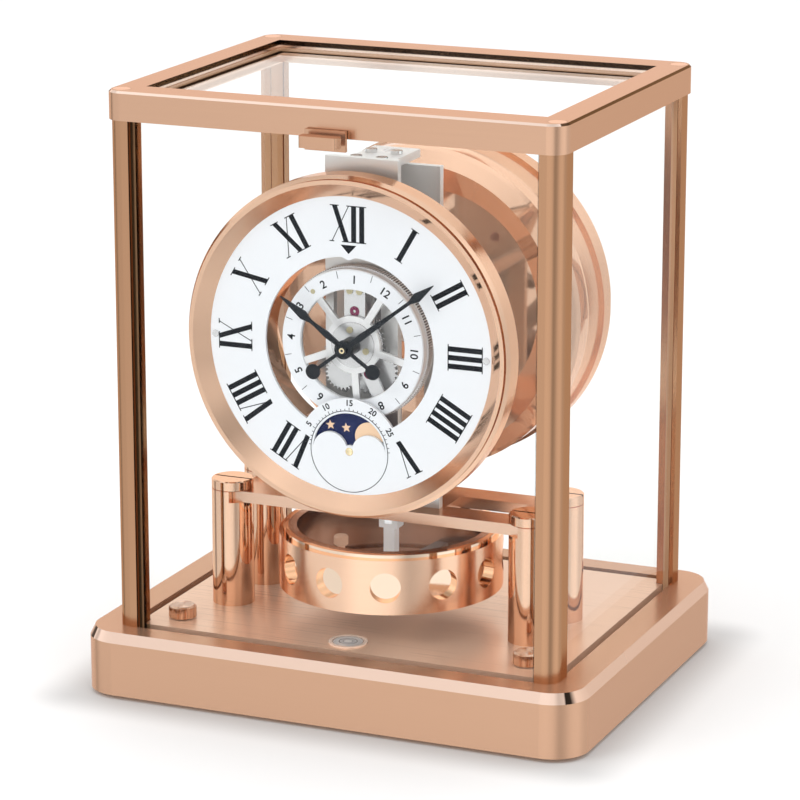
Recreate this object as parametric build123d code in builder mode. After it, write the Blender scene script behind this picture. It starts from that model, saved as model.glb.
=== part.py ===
from build123d import *
import math
import os

os.makedirs("parts", exist_ok=True)

# Axes: X to the right, Y from front to back, Z up. The origin is under the middle of the plinth, on the table.

# Plinth and feet
plinth_length = 197.0
plinth_depth = 158.0
plinth_height = 24.0
plinth_corner = 14.0
plinth_chamfer_height = 3.8
plinth_chamfer_depth = 1.9
foot_stand = 1.5
foot_radius = 8.0
foot_gap = 0.3
rear_foot_x = 69.0
rear_foot_y = 55.0
base_plate_thickness = 3.0

# Glass cabinet
cabinet_length = 176.0
cabinet_depth = 139.7
cabinet_height = 201.0
cabinet_corner = 6.5
rail_height = 10.7
side_rail_width = 10.9
front_rail_width = 13.3
post_length = 9.3
post_depth = 12.2
post_inset = 1.0
glass_thickness = 4.0
glass_set_back = 2.6
glass_gap = 0.3
door_channel_gap = 1.0
top_glass_drop = 3.0
top_ledge = 3.0
top_groove_depth = 1.5
rail_bevel = 0.8
frame_screw_head_radius = 3.3
frame_screw_head_depth = 1.2
frame_screw_radius = 1.5
frame_screw_length = 22.0
screw_gap = 0.1

# Door knob on the front glass
door_knob_length = 14.5
door_knob_height = 4.2
door_knob_depth = 4.6
door_plate_length = 15.6
door_plate_height = 3.4
door_plate_depth = 1.6
door_plate_gap = 0.4
door_neck_length = 9.0
door_neck_depth = 2.4
door_lug_height = 4.0
door_lug_gap = 0.4

# Levelling screws and bubble level
level_screw_inset = 19.0
level_screw_y = -50.0
level_spindle_radius = 2.5
level_knob_radius = 5.2
level_knob_height = 4.6
level_knob_flutes = 24
level_knob_flute_depth = 0.35
level_knob_dome = 0.6
level_y = -53.0
level_cup_radius = 7.2
level_cup_wall = 1.3
level_cup_lip = 0.5
level_cup_floor = 1.2
level_vial_crown = 0.4

# Carrier platform on its four pillars
pillar_x = 60.0
pillar_front_y = -24.5
pillar_rear_y = 4.0
pillar_radius = 7.9
platform_lift = 0.4
platform_thickness = 4.2
platform_reach = 58.0
platform_front_y = -29.0
platform_rear_y = 8.5
pillar_cap_height = 3.9
pillar_slot_width = 1.0
pillar_slot_depth = 0.8
pillar_seam = 0.3
platform_window_x = 37.5
platform_window_length = 27.0
platform_window_y = -10.0
platform_window_depth = 14.0
stem_hole_radius = 6.0

# Dial, bezel and hands
dial_lift = 10.5
dial_front_y = -51.4
dial_thickness = 1.2
dial_radius = 56.5
dial_sight_radius = 55.0
dial_opening_radius = 33.0
pointer_half = 3.0
pointer_depth = 1.3
moon_drop = 39.0
moon_lobe_radius = 19.9
moon_aperture_radius = 14.3
moon_hump_radius = 6.7
moon_hump_x = 7.6
moon_pin_boss_radius = 2.3
moon_pin_radius = 1.2
moon_disc_radius = 14.8
moon_disc_thickness = 0.8
moon_disc_gap = 0.3
bezel_radius = 63.0
bezel_front_y = -56.0
bezel_shoulder_y = -54.0
bezel_back_y = -45.5
bezel_lip_inner = 60.0
bezel_lip_outer = 61.6
bezel_wall = 2.2
holder_thickness = 1.5
holder_gap = 0.2
sleeve_wall = 1.4
sleeve_back_y = -41.2
sleeve_gap_angle = 66.0
dial_post_x = 11.4
dial_post_high = 36.0
dial_post_low = -57.6
dial_post_radius = 2.5
dial_screw_x = 53.0
dial_screw_radius = 1.3
dial_screw_shank = 0.7
dial_screw_head = 0.3
hand_thickness = 0.6
hour_hand_y = -55.5
minute_hand_y = -56.7
minute_angle = 52.5
hour_angle = 304.4
hour_reach = 30.6
minute_reach = 43.8
hour_swell_at = 19.6
minute_swell_at = 35.9
hour_tail = 13.2
minute_tail = 15.0
hand_stick_width = 1.3
hand_swell_width = 3.5
hand_tip_width = 0.3
hand_swell_rise = 3.5
hand_leaf_at = 8.5
hand_leaf_width = 2.5
hour_leaf_end = 14.0
minute_leaf_end = 25.0
hand_disc_radius = 2.8
hand_hub_radius = 3.4
hand_nut_radius = 1.7
hand_nut_height = 1.0

# Movement plates
front_plate_y = -40.0
front_plate_thickness = 3.0
rear_plate_y = -21.0
rear_plate_thickness = 3.0
front_plate_half = 14.2
front_plate_top = 66.8
front_plate_foot = -61.0
front_window_low = 4.0
front_window_high = 24.0
front_window_left = -11.0
front_window_right = 7.6
front_column_half = 3.8
rear_plate_half = 22.7
rear_plate_top = 62.0
rear_window_left = -14.0
rear_window_middle = -4.5
rear_window_low = 4.0
rear_window_high = 38.0
rear_slot_left = 6.5
rear_slot_right = 16.5
rear_slot_low = -36.0
rear_slot_high = 11.0
plate_pillar_x = 11.0
plate_pillar_high = 44.0
plate_pillar_low = -42.0
plate_pillar_radius = 3.0

# Arbors, jewels and clearances
running_gap = 0.05
pivot_radius = 0.8
jewel_radius = 1.9
pivot_end_gap = 0.4
centre_arbor_radius = 1.4
hour_pipe_radius = 2.6
hour_collet_radius = 3.2
bridge_boss_radius = 8.4
barrel_arbor_radius = 1.6
tooth_share = 0.40
tooth_tip_share = 0.20
tooth_addendum = 0.85
tooth_dedendum = 1.15

# Motion work in front of the front plate
motion_module = 0.6
cannon_teeth = 10
minute_wheel_teeth = 30
minute_pinion_teeth = 8
hour_wheel_teeth = 32
minute_wheel_angle = -63.0
calendar_module = 0.5
hour_upper_teeth = 30
calendar_teeth = 24
calendar_angle = -117.0
motion_layer = 0.8
cannon_back_y = -40.6
hour_layer_back_y = -42.0
calendar_layer_back_y = -43.4
bridge_back_y = -45.0
bridge_thickness = 1.2
bridge_radius = 10.5
bridge_top_reach = 19.4
bridge_top_width = 8.2
bridge_low_reach = 23.8
bridge_low_width = 5.2
bridge_foot_radius = 1.6
bridge_foot_edge = 0.5
bridge_foot_spread = 1.9
bridge_screw_radius = 1.2
bridge_screw_head = 0.4
bridge_screw_length = 2.2
bridge_screw_at = 5.6
bridge_screw_turn = 100.0
bridge_screw_count = 3
month_wheel_back_y = -46.7
month_wheel_thickness = 1.3
month_rim_radius = 27.8
month_rim_wall = 1.4
month_rim_back_y = -41.0
month_tooth_length = 3.6
month_tooth_rise = 0.7
month_tooth_depth = 0.5
month_teeth = 180
month_web_inner = 20.3
month_hub_radius = 10.6
month_spokes = 5
month_spoke_width = 2.6
month_spoke_turn = -14.0
month_ring_inner = 20.6
month_ring_outer = 27.5
month_ring_thickness = 0.4

# Going train between the plates
train_module = 0.4
train_wheel_teeth = 40
train_pinion_teeth = 20
train_wheel_thickness = 0.8
train_pinion_length = 1.4
third_angle = 90.0
escape_angle = 30.0
centre_wheel_y = -35.0
third_wheel_y = -31.6
escape_wheel_y = -28.6
escape_teeth = 15
escape_radius = 9.0
escape_tooth_depth = 2.2
pallet_distance = 13.0
pallet_arm_width = 2.0
pallet_span = 7.4
pallet_stone_drop = 4.6
barrel_module = 0.55
barrel_teeth = 64
centre_pinion_teeth = 8
barrel_angle = -110.0
barrel_wheel_y = -25.5
barrel_wheel_thickness = 1.0
barrel_radius = 15.5
barrel_depth = 7.0
barrel_wall = 1.0
mainspring_turns = 3.0
mainspring_strip = 0.8
mainspring_steps = 16

# Winding gear between the rear plate and the drum
pulley_radius = 4.4
pulley_width = 5.0
pulley_back_y = -8.0
chain_width = 0.9
chain_gap = 0.2
chain_turn_radius = 5.0
guide_post_x = 3.2
guide_post_radius = 1.5
guide_roll_length = 7.0

# Suspension and pendulum
pendulum_y = -13.0
bracket_thickness = 3.0
bracket_rear_y = -7.0
bracket_half_width = 9.0
bracket_screw_radius = 2.2
bracket_screw_height = 1.4
bracket_screw_x = 5.0
bracket_screw_front_y = -33.0
bracket_screw_rear_y = -19.5
clamp_radius = 3.2
clamp_length = 7.0
wire_radius = 0.3
ring_radius = 42.0
ring_inner = 38.0
ring_rim_inner = 35.3
ring_bottom = 12.0
ring_height = 20.6
ring_rim_height = 1.7
ring_rim_step = 1.6
ring_hole_count = 12
ring_hole_radius = 5.7
ring_hole_depth = 2.6
ring_hole_rise = 10.3
ring_hole_turn = -69.8
hub_radius = 8.0
hub_thickness = 3.0
hub_bottom = 14.0
spoke_width = 5.0
spoke_count = 4
spoke_turn = -8.0
stem_neck = 4.4
stem_block_height = 8.2
stem_width = 7.4
stem_depth = 6.0
stem_top = 41.5
stem_window = 3.0
stem_window_height = 36.4
trim_weight_at = 22.2
trim_weight_radius = 2.8
trim_weight_neck = 1.5
trim_weight_height = 5.0

# Bellows drum
drum_front_y = 12.0
drum_mouth_radius = 55.4
drum_nose_radius = 60.5
drum_nose_depth = 3.0
drum_radius = 61.8
drum_joint_y = 24.0
drum_wall = 2.0
dish_floor_radius = 44.0
dish_floor_y = 23.0
dish_thickness = 2.0
dish_hole_radius = 12.0
flange_y = 38.0
flange_radius = 63.0
cover_step_y = 45.0
cover_step_radius = 60.5
drum_back_y = 52.0
cover_wall = 2.5
joint_groove = 0.6
drum_post_x = 19.6
drum_post_high = 12.0
drum_post_low = -35.0
drum_post_radius = 3.0
bellows_radius = 48.0
bellows_fold_depth = 6.0
bellows_folds = 5
bellows_front_y = 36.0
bellows_wall = 1.0
cap_thickness = 2.0
cap_stud_radius = 4.0
spring_radius = 16.0
spring_wire = 1.2
spring_turns = 3

# Heights and places worked out from the sizes above
deck = foot_stand + plinth_height
cabinet_top = deck + cabinet_height
rail_bottom = cabinet_top - rail_height
platform_height = cabinet_height / 5 + platform_lift
dial_z = deck + cabinet_height / 2 + dial_lift
half_length = cabinet_length / 2
half_depth = cabinet_depth / 2
level_screw_x = half_length - level_screw_inset
post_inner_x = half_length - post_length
post_inner_y = half_depth - post_depth
pane_outer_x = half_length - glass_set_back
pane_outer_y = half_depth - glass_set_back
pane_inner_x = pane_outer_x - glass_thickness
pane_inner_y = pane_outer_y - glass_thickness
pane_bottom = deck - base_plate_thickness
platform_bottom = deck + platform_height
platform_top = platform_bottom + platform_thickness
dial_back_y = dial_front_y + dial_thickness
front_plate_back_y = front_plate_y + front_plate_thickness
rear_plate_back_y = rear_plate_y + rear_plate_thickness
bridge_front_y = bridge_back_y - bridge_thickness
boss_front_y = bridge_front_y - month_wheel_thickness - 2 * pivot_end_gap
moon_disc_front_y = dial_back_y + moon_disc_gap
moon_disc_back_y = moon_disc_front_y + moon_disc_thickness
minute_distance = motion_module * (cannon_teeth + minute_wheel_teeth) / 2
calendar_distance = calendar_module * (hour_upper_teeth + calendar_teeth) / 2
train_distance = train_module * (train_wheel_teeth + train_pinion_teeth) / 2
barrel_distance = barrel_module * (barrel_teeth + centre_pinion_teeth) / 2
dial_axis = Axis((0, 0, dial_z), (0, 1, 0))
pendulum_axis = Axis((0, pendulum_y, 0), (0, 0, 1))


def polar(distance, angle):
    turn = math.radians(angle)
    return (distance * math.cos(turn), distance * math.sin(turn))


def shifted(start, distance, angle):
    step = polar(distance, angle)
    return (start[0] + step[0], start[1] + step[1])


minute_wheel_at = polar(minute_distance, minute_wheel_angle)
calendar_at = polar(calendar_distance, calendar_angle)
third_at = polar(train_distance, third_angle)
escape_at = shifted(third_at, train_distance, escape_angle)
pallet_at = shifted(escape_at, pallet_distance, 90.0)
barrel_at = polar(barrel_distance, barrel_angle)


# A plane that faces the viewer at the given depth, centred on the dial or on a point of its face
def dial_plane(depth, at=(0.0, 0.0)):
    return Plane(origin=(at[0], depth, dial_z + at[1]), x_dir=(1, 0, 0), z_dir=(0, -1, 0))


# The upright plane through the pendulum's axis, with radius along X and height along Z
def pendulum_plane():
    return Plane(origin=(0, pendulum_y, 0), x_dir=(1, 0, 0), z_dir=(0, -1, 0))


def level_plane(height):
    return Plane.XY.offset(height)


# Points of a toothed wheel's rim, with one tooth's middle at the given turn
def tooth_outline(teeth, module, turn):
    pitch_radius = module * teeth / 2
    root = pitch_radius - tooth_dedendum * module
    tip = pitch_radius + tooth_addendum * module
    step = 360.0 / teeth
    foot_half = step * (2 * tooth_share - tooth_tip_share) / 2
    tip_half = step * tooth_tip_share / 2
    points = []
    for index in range(teeth):
        middle = turn + index * step
        points.append(polar(root, middle - foot_half))
        points.append(polar(tip, middle - tip_half))
        points.append(polar(tip, middle + tip_half))
        points.append(polar(root, middle + foot_half))
    return points


# The turn that puts a gap of this wheel over a tooth of the wheel it meets
# The angle is the direction from the other wheel's centre to this one's
def mesh_turn(own_teeth, other_teeth, other_turn, angle):
    other_step = 360.0 / other_teeth
    own_step = 360.0 / own_teeth
    tooth_lead = (angle - other_turn) / other_step
    back_angle = angle + 180.0
    return back_angle + own_step * (0.5 + tooth_lead)


# A rectangle with its four corners cut away, as two crossed rectangles
def notched_rectangle(half_x_long, half_y_long, half_x_short, half_y_short, front_y):
    with Locations((0, (half_y_long - front_y) / 2)):
        Rectangle(2 * half_x_short, half_y_long + front_y)
    Rectangle(2 * half_x_long, 2 * half_y_short)


def write_piece(builder, name):
    builder.part.label = name
    export_step(builder.part, f"parts/{name}.step")


# Plinth: a chamfered block with a shallow seat for the base plate and the panes
with BuildPart() as plinth:
    with BuildSketch(level_plane(foot_stand)):
        RectangleRounded(plinth_length, plinth_depth, plinth_corner)
    extrude(amount=plinth_height)
    chamfer(
        plinth.faces().sort_by(Axis.Z)[-1].edges(),
        plinth_chamfer_depth,
        plinth_chamfer_height,
        reference=plinth.faces().sort_by(Axis.Z)[-1],
    )
    with BuildSketch(level_plane(deck)):
        notched_rectangle(
            pane_outer_x + glass_gap,
            pane_outer_y + glass_gap,
            post_inner_x,
            post_inner_y,
            pane_outer_y + door_channel_gap,
        )
    extrude(amount=-base_plate_thickness, mode=Mode.SUBTRACT)
    with Locations((level_screw_x, level_screw_y, deck), (-level_screw_x, level_screw_y, deck)):
        Cylinder(level_spindle_radius + running_gap, 4 * plinth_height, mode=Mode.SUBTRACT)
write_piece(plinth, "plinth")

# Base plate inside the glass, with holes for the levelling screws and a pocket for the level
with BuildPart() as base_plate:
    with BuildSketch(level_plane(deck - base_plate_thickness)):
        notched_rectangle(
            pane_inner_x - glass_gap,
            pane_inner_y - glass_gap,
            post_inner_x - glass_gap,
            post_inner_y - glass_gap,
            pane_inner_y - glass_gap,
        )
        with Locations((level_screw_x, level_screw_y), (-level_screw_x, level_screw_y)):
            Circle(level_spindle_radius + running_gap, mode=Mode.SUBTRACT)
        with Locations((0, level_y)):
            Circle(level_cup_radius + screw_gap, mode=Mode.SUBTRACT)
    extrude(amount=base_plate_thickness)
write_piece(base_plate, "base_plate")

# Fixed feet at the rear
with BuildPart() as rear_feet:
    with BuildSketch(Plane.XY):
        with Locations((rear_foot_x, rear_foot_y), (-rear_foot_x, rear_foot_y)):
            Circle(foot_radius)
    extrude(amount=foot_stand)
write_piece(rear_feet, "rear_feet")

# Levelling screws: foot pad, spindle and fluted knob in one piece
for side_name, side in (("left", -1), ("right", 1)):
    with BuildPart() as level_screw:
        with BuildSketch(Plane.XY):
            with Locations((side * level_screw_x, level_screw_y)):
                Circle(foot_radius)
        extrude(amount=foot_stand - foot_gap)
        with BuildSketch(Plane.XY):
            with Locations((side * level_screw_x, level_screw_y)):
                Circle(level_spindle_radius)
        extrude(amount=deck + foot_gap)
        flute_points = []
        for index in range(2 * level_knob_flutes):
            flute_radius = level_knob_radius - level_knob_flute_depth * (index % 2)
            flute_points.append(polar(flute_radius, index * 180.0 / level_knob_flutes))
        with BuildSketch(Plane((side * level_screw_x, level_screw_y, deck + foot_gap))):
            with BuildLine():
                Polyline(*flute_points, close=True)
            make_face()
        extrude(amount=level_knob_height - level_knob_dome)
        with BuildSketch(Plane.XY.offset(deck + foot_gap + level_knob_height - level_knob_dome)):
            with Locations((side * level_screw_x, level_screw_y)):
                Circle(level_knob_radius - level_knob_flute_depth)
        extrude(amount=level_knob_dome, taper=45)
    write_piece(level_screw, f"{side_name}_level_screw")

# Bubble level: a cup let into the base plate, with a lip, and the vial in it
with BuildPart() as level_cup:
    with BuildSketch(level_plane(deck - base_plate_thickness)):
        with Locations((0, level_y)):
            Circle(level_cup_radius)
    extrude(amount=base_plate_thickness + level_cup_lip)
    with BuildSketch(level_plane(deck + level_cup_lip)):
        with Locations((0, level_y)):
            Circle(level_cup_radius - level_cup_wall)
    extrude(amount=-(base_plate_thickness + level_cup_lip - level_cup_floor), mode=Mode.SUBTRACT)
write_piece(level_cup, "level_cup")

level_vial_floor = deck - base_plate_thickness + level_cup_floor
level_vial_radius = level_cup_radius - level_cup_wall - screw_gap
with BuildPart() as level_vial:
    with BuildSketch(Plane((0, level_y, level_vial_floor))):
        Circle(level_vial_radius)
    extrude(amount=deck + level_vial_crown - level_vial_floor)
    chamfer(level_vial.faces().sort_by(Axis.Z)[-1].edges(), level_vial_crown)
write_piece(level_vial, "level_vial")

# Corner posts with their outer corners rounded like the frame
post_x = half_length - post_length / 2
post_y = half_depth - post_depth / 2
corner_places = [(side_x * post_x, side_y * post_y) for side_x in (-1, 1) for side_y in (-1, 1)]
with BuildPart() as corner_posts:
    with BuildSketch(level_plane(deck)):
        RectangleRounded(
            cabinet_length - 2 * post_inset,
            cabinet_depth - 2 * post_inset,
            cabinet_corner - post_inset,
        )
        Rectangle(cabinet_length, 2 * post_inner_y, mode=Mode.SUBTRACT)
        Rectangle(2 * post_inner_x, cabinet_depth, mode=Mode.SUBTRACT)
    extrude(amount=rail_bottom - deck)
    with BuildSketch(level_plane(rail_bottom)):
        with Locations(*corner_places):
            Circle(frame_screw_radius + screw_gap)
    extrude(amount=-(frame_screw_length - rail_height + screw_gap), mode=Mode.SUBTRACT)
write_piece(corner_posts, "corner_posts")

# Top frame: rails round the top glass, which drops in on a ledge
with BuildPart() as top_frame:
    with BuildSketch(level_plane(rail_bottom)):
        RectangleRounded(cabinet_length, cabinet_depth, cabinet_corner)
    extrude(amount=rail_height)
    chamfer(top_frame.faces().sort_by(Axis.Z)[-1].edges(), rail_bevel)
    with BuildSketch(level_plane(cabinet_top)):
        Rectangle(cabinet_length - 2 * side_rail_width, cabinet_depth - 2 * front_rail_width)
    extrude(amount=-(top_glass_drop + glass_thickness), mode=Mode.SUBTRACT)
    with BuildSketch(level_plane(cabinet_top)):
        Rectangle(
            cabinet_length - 2 * side_rail_width - 2 * top_ledge,
            cabinet_depth - 2 * front_rail_width - 2 * top_ledge,
        )
    extrude(amount=-rail_height, mode=Mode.SUBTRACT)
    with BuildSketch(level_plane(rail_bottom)):
        for side in (-1, 1):
            with Locations((side * (pane_outer_x + pane_inner_x) / 2, 0)):
                Rectangle(glass_thickness + 2 * glass_gap, 2 * post_inner_y)
        with Locations((0, (pane_outer_y + pane_inner_y) / 2)):
            Rectangle(2 * post_inner_x, glass_thickness + 2 * glass_gap)
    extrude(amount=top_groove_depth, mode=Mode.SUBTRACT)
    with Locations(*[(x, y, cabinet_top) for x, y in corner_places]):
        CounterBoreHole(
            frame_screw_radius + screw_gap,
            frame_screw_head_radius + screw_gap,
            frame_screw_head_depth,
            rail_height,
        )
write_piece(top_frame, "top_frame")

# Frame screws, flush with the top of the frame
with BuildPart() as frame_screws:
    with BuildSketch(level_plane(cabinet_top - frame_screw_head_depth)):
        with Locations(*corner_places):
            Circle(frame_screw_head_radius)
    extrude(amount=frame_screw_head_depth)
    with BuildSketch(level_plane(cabinet_top - frame_screw_head_depth)):
        with Locations(*corner_places):
            Circle(frame_screw_radius)
    extrude(amount=-(frame_screw_length - frame_screw_head_depth))
write_piece(frame_screws, "frame_screws")

# Top glass on the ledge
with BuildPart() as top_glass:
    with BuildSketch(level_plane(cabinet_top - top_glass_drop - glass_thickness)):
        Rectangle(
            cabinet_length - 2 * side_rail_width - 2 * glass_gap,
            cabinet_depth - 2 * front_rail_width - 2 * glass_gap,
        )
    extrude(amount=glass_thickness)
write_piece(top_glass, "top_glass")

# Side and rear panes stand in the channel and reach into the grooves of the frame
fixed_pane_height = rail_bottom + top_groove_depth - glass_gap - pane_bottom
for side_name, side in (("left", -1), ("right", 1)):
    with BuildPart() as side_glass:
        with BuildSketch(level_plane(pane_bottom)):
            with Locations((side * (pane_outer_x + pane_inner_x) / 2, 0)):
                Rectangle(glass_thickness, 2 * (post_inner_y - glass_gap))
        extrude(amount=fixed_pane_height)
    write_piece(side_glass, f"{side_name}_glass")

with BuildPart() as rear_glass:
    with BuildSketch(level_plane(pane_bottom)):
        with Locations((0, (pane_outer_y + pane_inner_y) / 2)):
            Rectangle(2 * (post_inner_x - glass_gap), glass_thickness)
    extrude(amount=fixed_pane_height)
write_piece(rear_glass, "rear_glass")

# Front glass: a loose pane that tips out at the top
door_top = rail_bottom - glass_gap
with BuildPart() as front_glass:
    with BuildSketch(level_plane(pane_bottom)):
        with Locations((0, -(pane_outer_y + pane_inner_y) / 2)):
            Rectangle(2 * (post_inner_x - glass_gap), glass_thickness)
    extrude(amount=door_top - pane_bottom)
write_piece(front_glass, "front_glass")

# Door knob: a lug on the glass, a plate that stops in front of the rail, a neck and the grip
door_plate_back = -half_depth - door_plate_gap
door_lug_top = rail_bottom - door_lug_gap
door_grip_back = door_plate_back - door_plate_depth - door_neck_depth
with BuildPart() as door_knob:
    with Locations((0, (door_plate_back - pane_outer_y) / 2, door_lug_top - door_lug_height / 2)):
        Box(door_neck_length, pane_outer_y * -1 - door_plate_back, door_lug_height)
    with Locations((0, door_plate_back - door_plate_depth / 2, door_lug_top - door_lug_height)):
        Box(
            door_plate_length,
            door_plate_depth,
            door_lug_height + door_plate_height,
            align=(Align.CENTER, Align.CENTER, Align.MIN),
        )
    with Locations((0, door_plate_back - door_plate_depth - door_neck_depth / 2, door_lug_top)):
        Box(door_neck_length, door_neck_depth, door_knob_height / 2)
    with Locations((0, door_grip_back - door_knob_depth / 2, door_lug_top)):
        Box(door_knob_length, door_knob_depth, door_knob_height)
    fillet(door_knob.faces().sort_by(Axis.Y)[0].edges().filter_by(Axis.Z), door_knob_depth / 4)
write_piece(door_knob, "door_knob")

# Pillars under the platform: each is stepped on its inner side, where the platform rests
pillar_places = [(side * pillar_x, y) for side in (-1, 1) for y in (pillar_front_y, pillar_rear_y)]
with BuildPart() as pillars:
    with BuildSketch(level_plane(deck)):
        with Locations(*pillar_places):
            Circle(pillar_radius)
    extrude(amount=platform_top - deck)
    with BuildSketch(level_plane(platform_bottom)):
        Rectangle(2 * platform_reach, plinth_depth)
    extrude(amount=platform_thickness, mode=Mode.SUBTRACT)
write_piece(pillars, "pillars")

# Slotted caps that hold the platform down
with BuildPart() as pillar_caps:
    with BuildSketch(level_plane(platform_top)):
        with Locations(*pillar_places):
            Circle(pillar_radius)
    extrude(amount=pillar_cap_height)
    chamfer(pillar_caps.faces().filter_by(Axis.Z).group_by(Axis.Z)[-1].edges(), pillar_slot_depth / 2)
    chamfer(pillar_caps.faces().filter_by(Axis.Z).group_by(Axis.Z)[0].edges(), pillar_seam)
    with BuildSketch(level_plane(platform_top + pillar_cap_height)):
        with Locations(*pillar_places):
            Rectangle(2 * pillar_radius, pillar_slot_width)
    extrude(amount=-pillar_slot_depth, mode=Mode.SUBTRACT)
write_piece(pillar_caps, "pillar_caps")

# Platform with a window on each side and a hole for the pendulum's stem
with BuildPart() as platform:
    with BuildSketch(level_plane(platform_bottom)):
        with Locations((0, (platform_front_y + platform_rear_y) / 2)):
            Rectangle(2 * (platform_reach - screw_gap), platform_rear_y - platform_front_y)
        with Locations((platform_window_x, platform_window_y), (-platform_window_x, platform_window_y)):
            Rectangle(platform_window_length, platform_window_depth, mode=Mode.SUBTRACT)
        with Locations((0, pendulum_y)):
            Circle(stem_hole_radius, mode=Mode.SUBTRACT)
    extrude(amount=platform_thickness)
write_piece(platform, "platform")

# Bezel: an inner cone down to the dial, a front lip, a shoulder and the outer wall
with BuildPart() as bezel:
    with BuildSketch(Plane.XY.offset(dial_z)):
        with BuildLine():
            Polyline(
                (dial_sight_radius, dial_front_y),
                (bezel_lip_inner, bezel_front_y),
                (bezel_lip_outer, bezel_front_y),
                (bezel_lip_outer, bezel_shoulder_y),
                (bezel_radius, bezel_shoulder_y + (bezel_radius - bezel_lip_outer) / 2),
                (bezel_radius, bezel_back_y),
                (bezel_radius - bezel_wall, bezel_back_y),
                (bezel_radius - bezel_wall, dial_front_y),
                close=True,
            )
        make_face()
    revolve(axis=dial_axis)
write_piece(bezel, "bezel")

# Dial: a ring whose lower part carries the moon aperture
with BuildPart() as dial_ring:
    with BuildSketch(dial_plane(dial_back_y)):
        Circle(dial_radius)
        Circle(dial_opening_radius, mode=Mode.SUBTRACT)
        with BuildLine():
            Polyline(
                (-pointer_half, dial_opening_radius),
                (0, dial_opening_radius - pointer_depth),
                (pointer_half, dial_opening_radius),
                (0, dial_opening_radius + pointer_depth),
                close=True,
            )
        make_face()
        with Locations((0, -moon_drop)):
            Circle(moon_lobe_radius)
        Circle(dial_radius, mode=Mode.INTERSECT)
        with Locations((0, -moon_drop)):
            Circle(moon_pin_radius + running_gap, mode=Mode.SUBTRACT)
        with Locations((dial_screw_x, 0), (-dial_screw_x, 0)):
            Circle(dial_screw_shank + screw_gap, mode=Mode.SUBTRACT)
    extrude(amount=dial_thickness)
    with BuildSketch(dial_plane(dial_back_y)):
        with Locations((0, -moon_drop)):
            Circle(moon_aperture_radius)
        with Locations((0, -moon_drop - moon_aperture_radius)):
            Rectangle(2 * moon_aperture_radius, 2 * moon_aperture_radius, mode=Mode.SUBTRACT)
        with Locations((moon_hump_x, -moon_drop), (-moon_hump_x, -moon_drop)):
            Circle(moon_hump_radius, mode=Mode.SUBTRACT)
        with Locations((0, -moon_drop)):
            Circle(moon_pin_boss_radius, mode=Mode.SUBTRACT)
    extrude(amount=dial_thickness, mode=Mode.SUBTRACT)
write_piece(dial_ring, "dial_ring")

# Dial holder: a plate behind the dial with a hole for the moon disc, and a sleeve that lines the opening
holder_back_y = dial_back_y + holder_thickness
sleeve_cut = dial_radius * math.tan(math.radians(sleeve_gap_angle / 2))
dial_post_places = [(-dial_post_x, dial_post_high), (dial_post_x, dial_post_high), (0, dial_post_low)]
with BuildPart() as dial_holder:
    with BuildSketch(dial_plane(sleeve_back_y)):
        Circle(dial_opening_radius + sleeve_wall)
        Circle(dial_opening_radius, mode=Mode.SUBTRACT)
        with BuildLine():
            Polyline((0, 0), (sleeve_cut, -dial_radius), (-sleeve_cut, -dial_radius), close=True)
        make_face(mode=Mode.SUBTRACT)
    extrude(amount=sleeve_back_y - dial_back_y)
    with BuildSketch(dial_plane(holder_back_y)):
        Circle(bezel_radius - bezel_wall - holder_gap)
        Circle(dial_opening_radius, mode=Mode.SUBTRACT)
        with Locations((0, -moon_drop)):
            Circle(moon_disc_radius + moon_disc_thickness, mode=Mode.SUBTRACT)
        with Locations((dial_screw_x, 0), (-dial_screw_x, 0)):
            Circle(dial_screw_shank + screw_gap, mode=Mode.SUBTRACT)
    extrude(amount=holder_thickness)
write_piece(dial_holder, "dial_holder")

# Posts between the dial holder and the front plate
with BuildPart() as dial_posts:
    with BuildSketch(dial_plane(front_plate_y)):
        with Locations(*dial_post_places):
            Circle(dial_post_radius)
    extrude(amount=front_plate_y - holder_back_y)
write_piece(dial_posts, "dial_posts")

# Two screws that hold the dial
with BuildPart() as dial_screws:
    with BuildSketch(dial_plane(dial_front_y)):
        with Locations((dial_screw_x, 0), (-dial_screw_x, 0)):
            Circle(dial_screw_radius)
    extrude(amount=dial_screw_head)
    with BuildSketch(dial_plane(holder_back_y)):
        with Locations((dial_screw_x, 0), (-dial_screw_x, 0)):
            Circle(dial_screw_shank)
    extrude(amount=holder_back_y - dial_front_y)
write_piece(dial_screws, "dial_screws")

# Moon disc on its arbor, which turns in the dial and in the front plate
with BuildPart() as moon_disc:
    with BuildSketch(dial_plane(moon_disc_back_y, (0, -moon_drop))):
        Circle(moon_disc_radius)
    extrude(amount=moon_disc_thickness)
    with BuildSketch(dial_plane(front_plate_back_y, (0, -moon_drop))):
        Circle(moon_pin_radius)
    extrude(amount=front_plate_back_y - dial_front_y)
write_piece(moon_disc, "moon_disc")


# A point of a hand, by its distance from the centre and its offset to the right of the hand's line
def hand_point(angle, distance, across):
    turn = math.radians(angle)
    point_x = distance * math.sin(turn) + across * math.cos(turn)
    point_y = distance * math.cos(turn) - across * math.sin(turn)
    return (point_x, point_y)


# A thin stick with a slim leaf by the hub and a long diamond near its end, from the tail disc to the tip
def hand_outline(angle, reach, swell_at, leaf_end, tail):
    stations = [
        (-tail, hand_stick_width),
        (0, hand_stick_width),
        (hand_leaf_at, hand_leaf_width),
        (leaf_end, hand_stick_width),
        (swell_at - hand_swell_rise, hand_stick_width),
        (swell_at, hand_swell_width),
        (reach, hand_tip_width),
    ]
    right_side = [hand_point(angle, distance, width / 2) for distance, width in stations]
    left_side = [hand_point(angle, distance, -width / 2) for distance, width in stations]
    return right_side + left_side[::-1]


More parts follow.
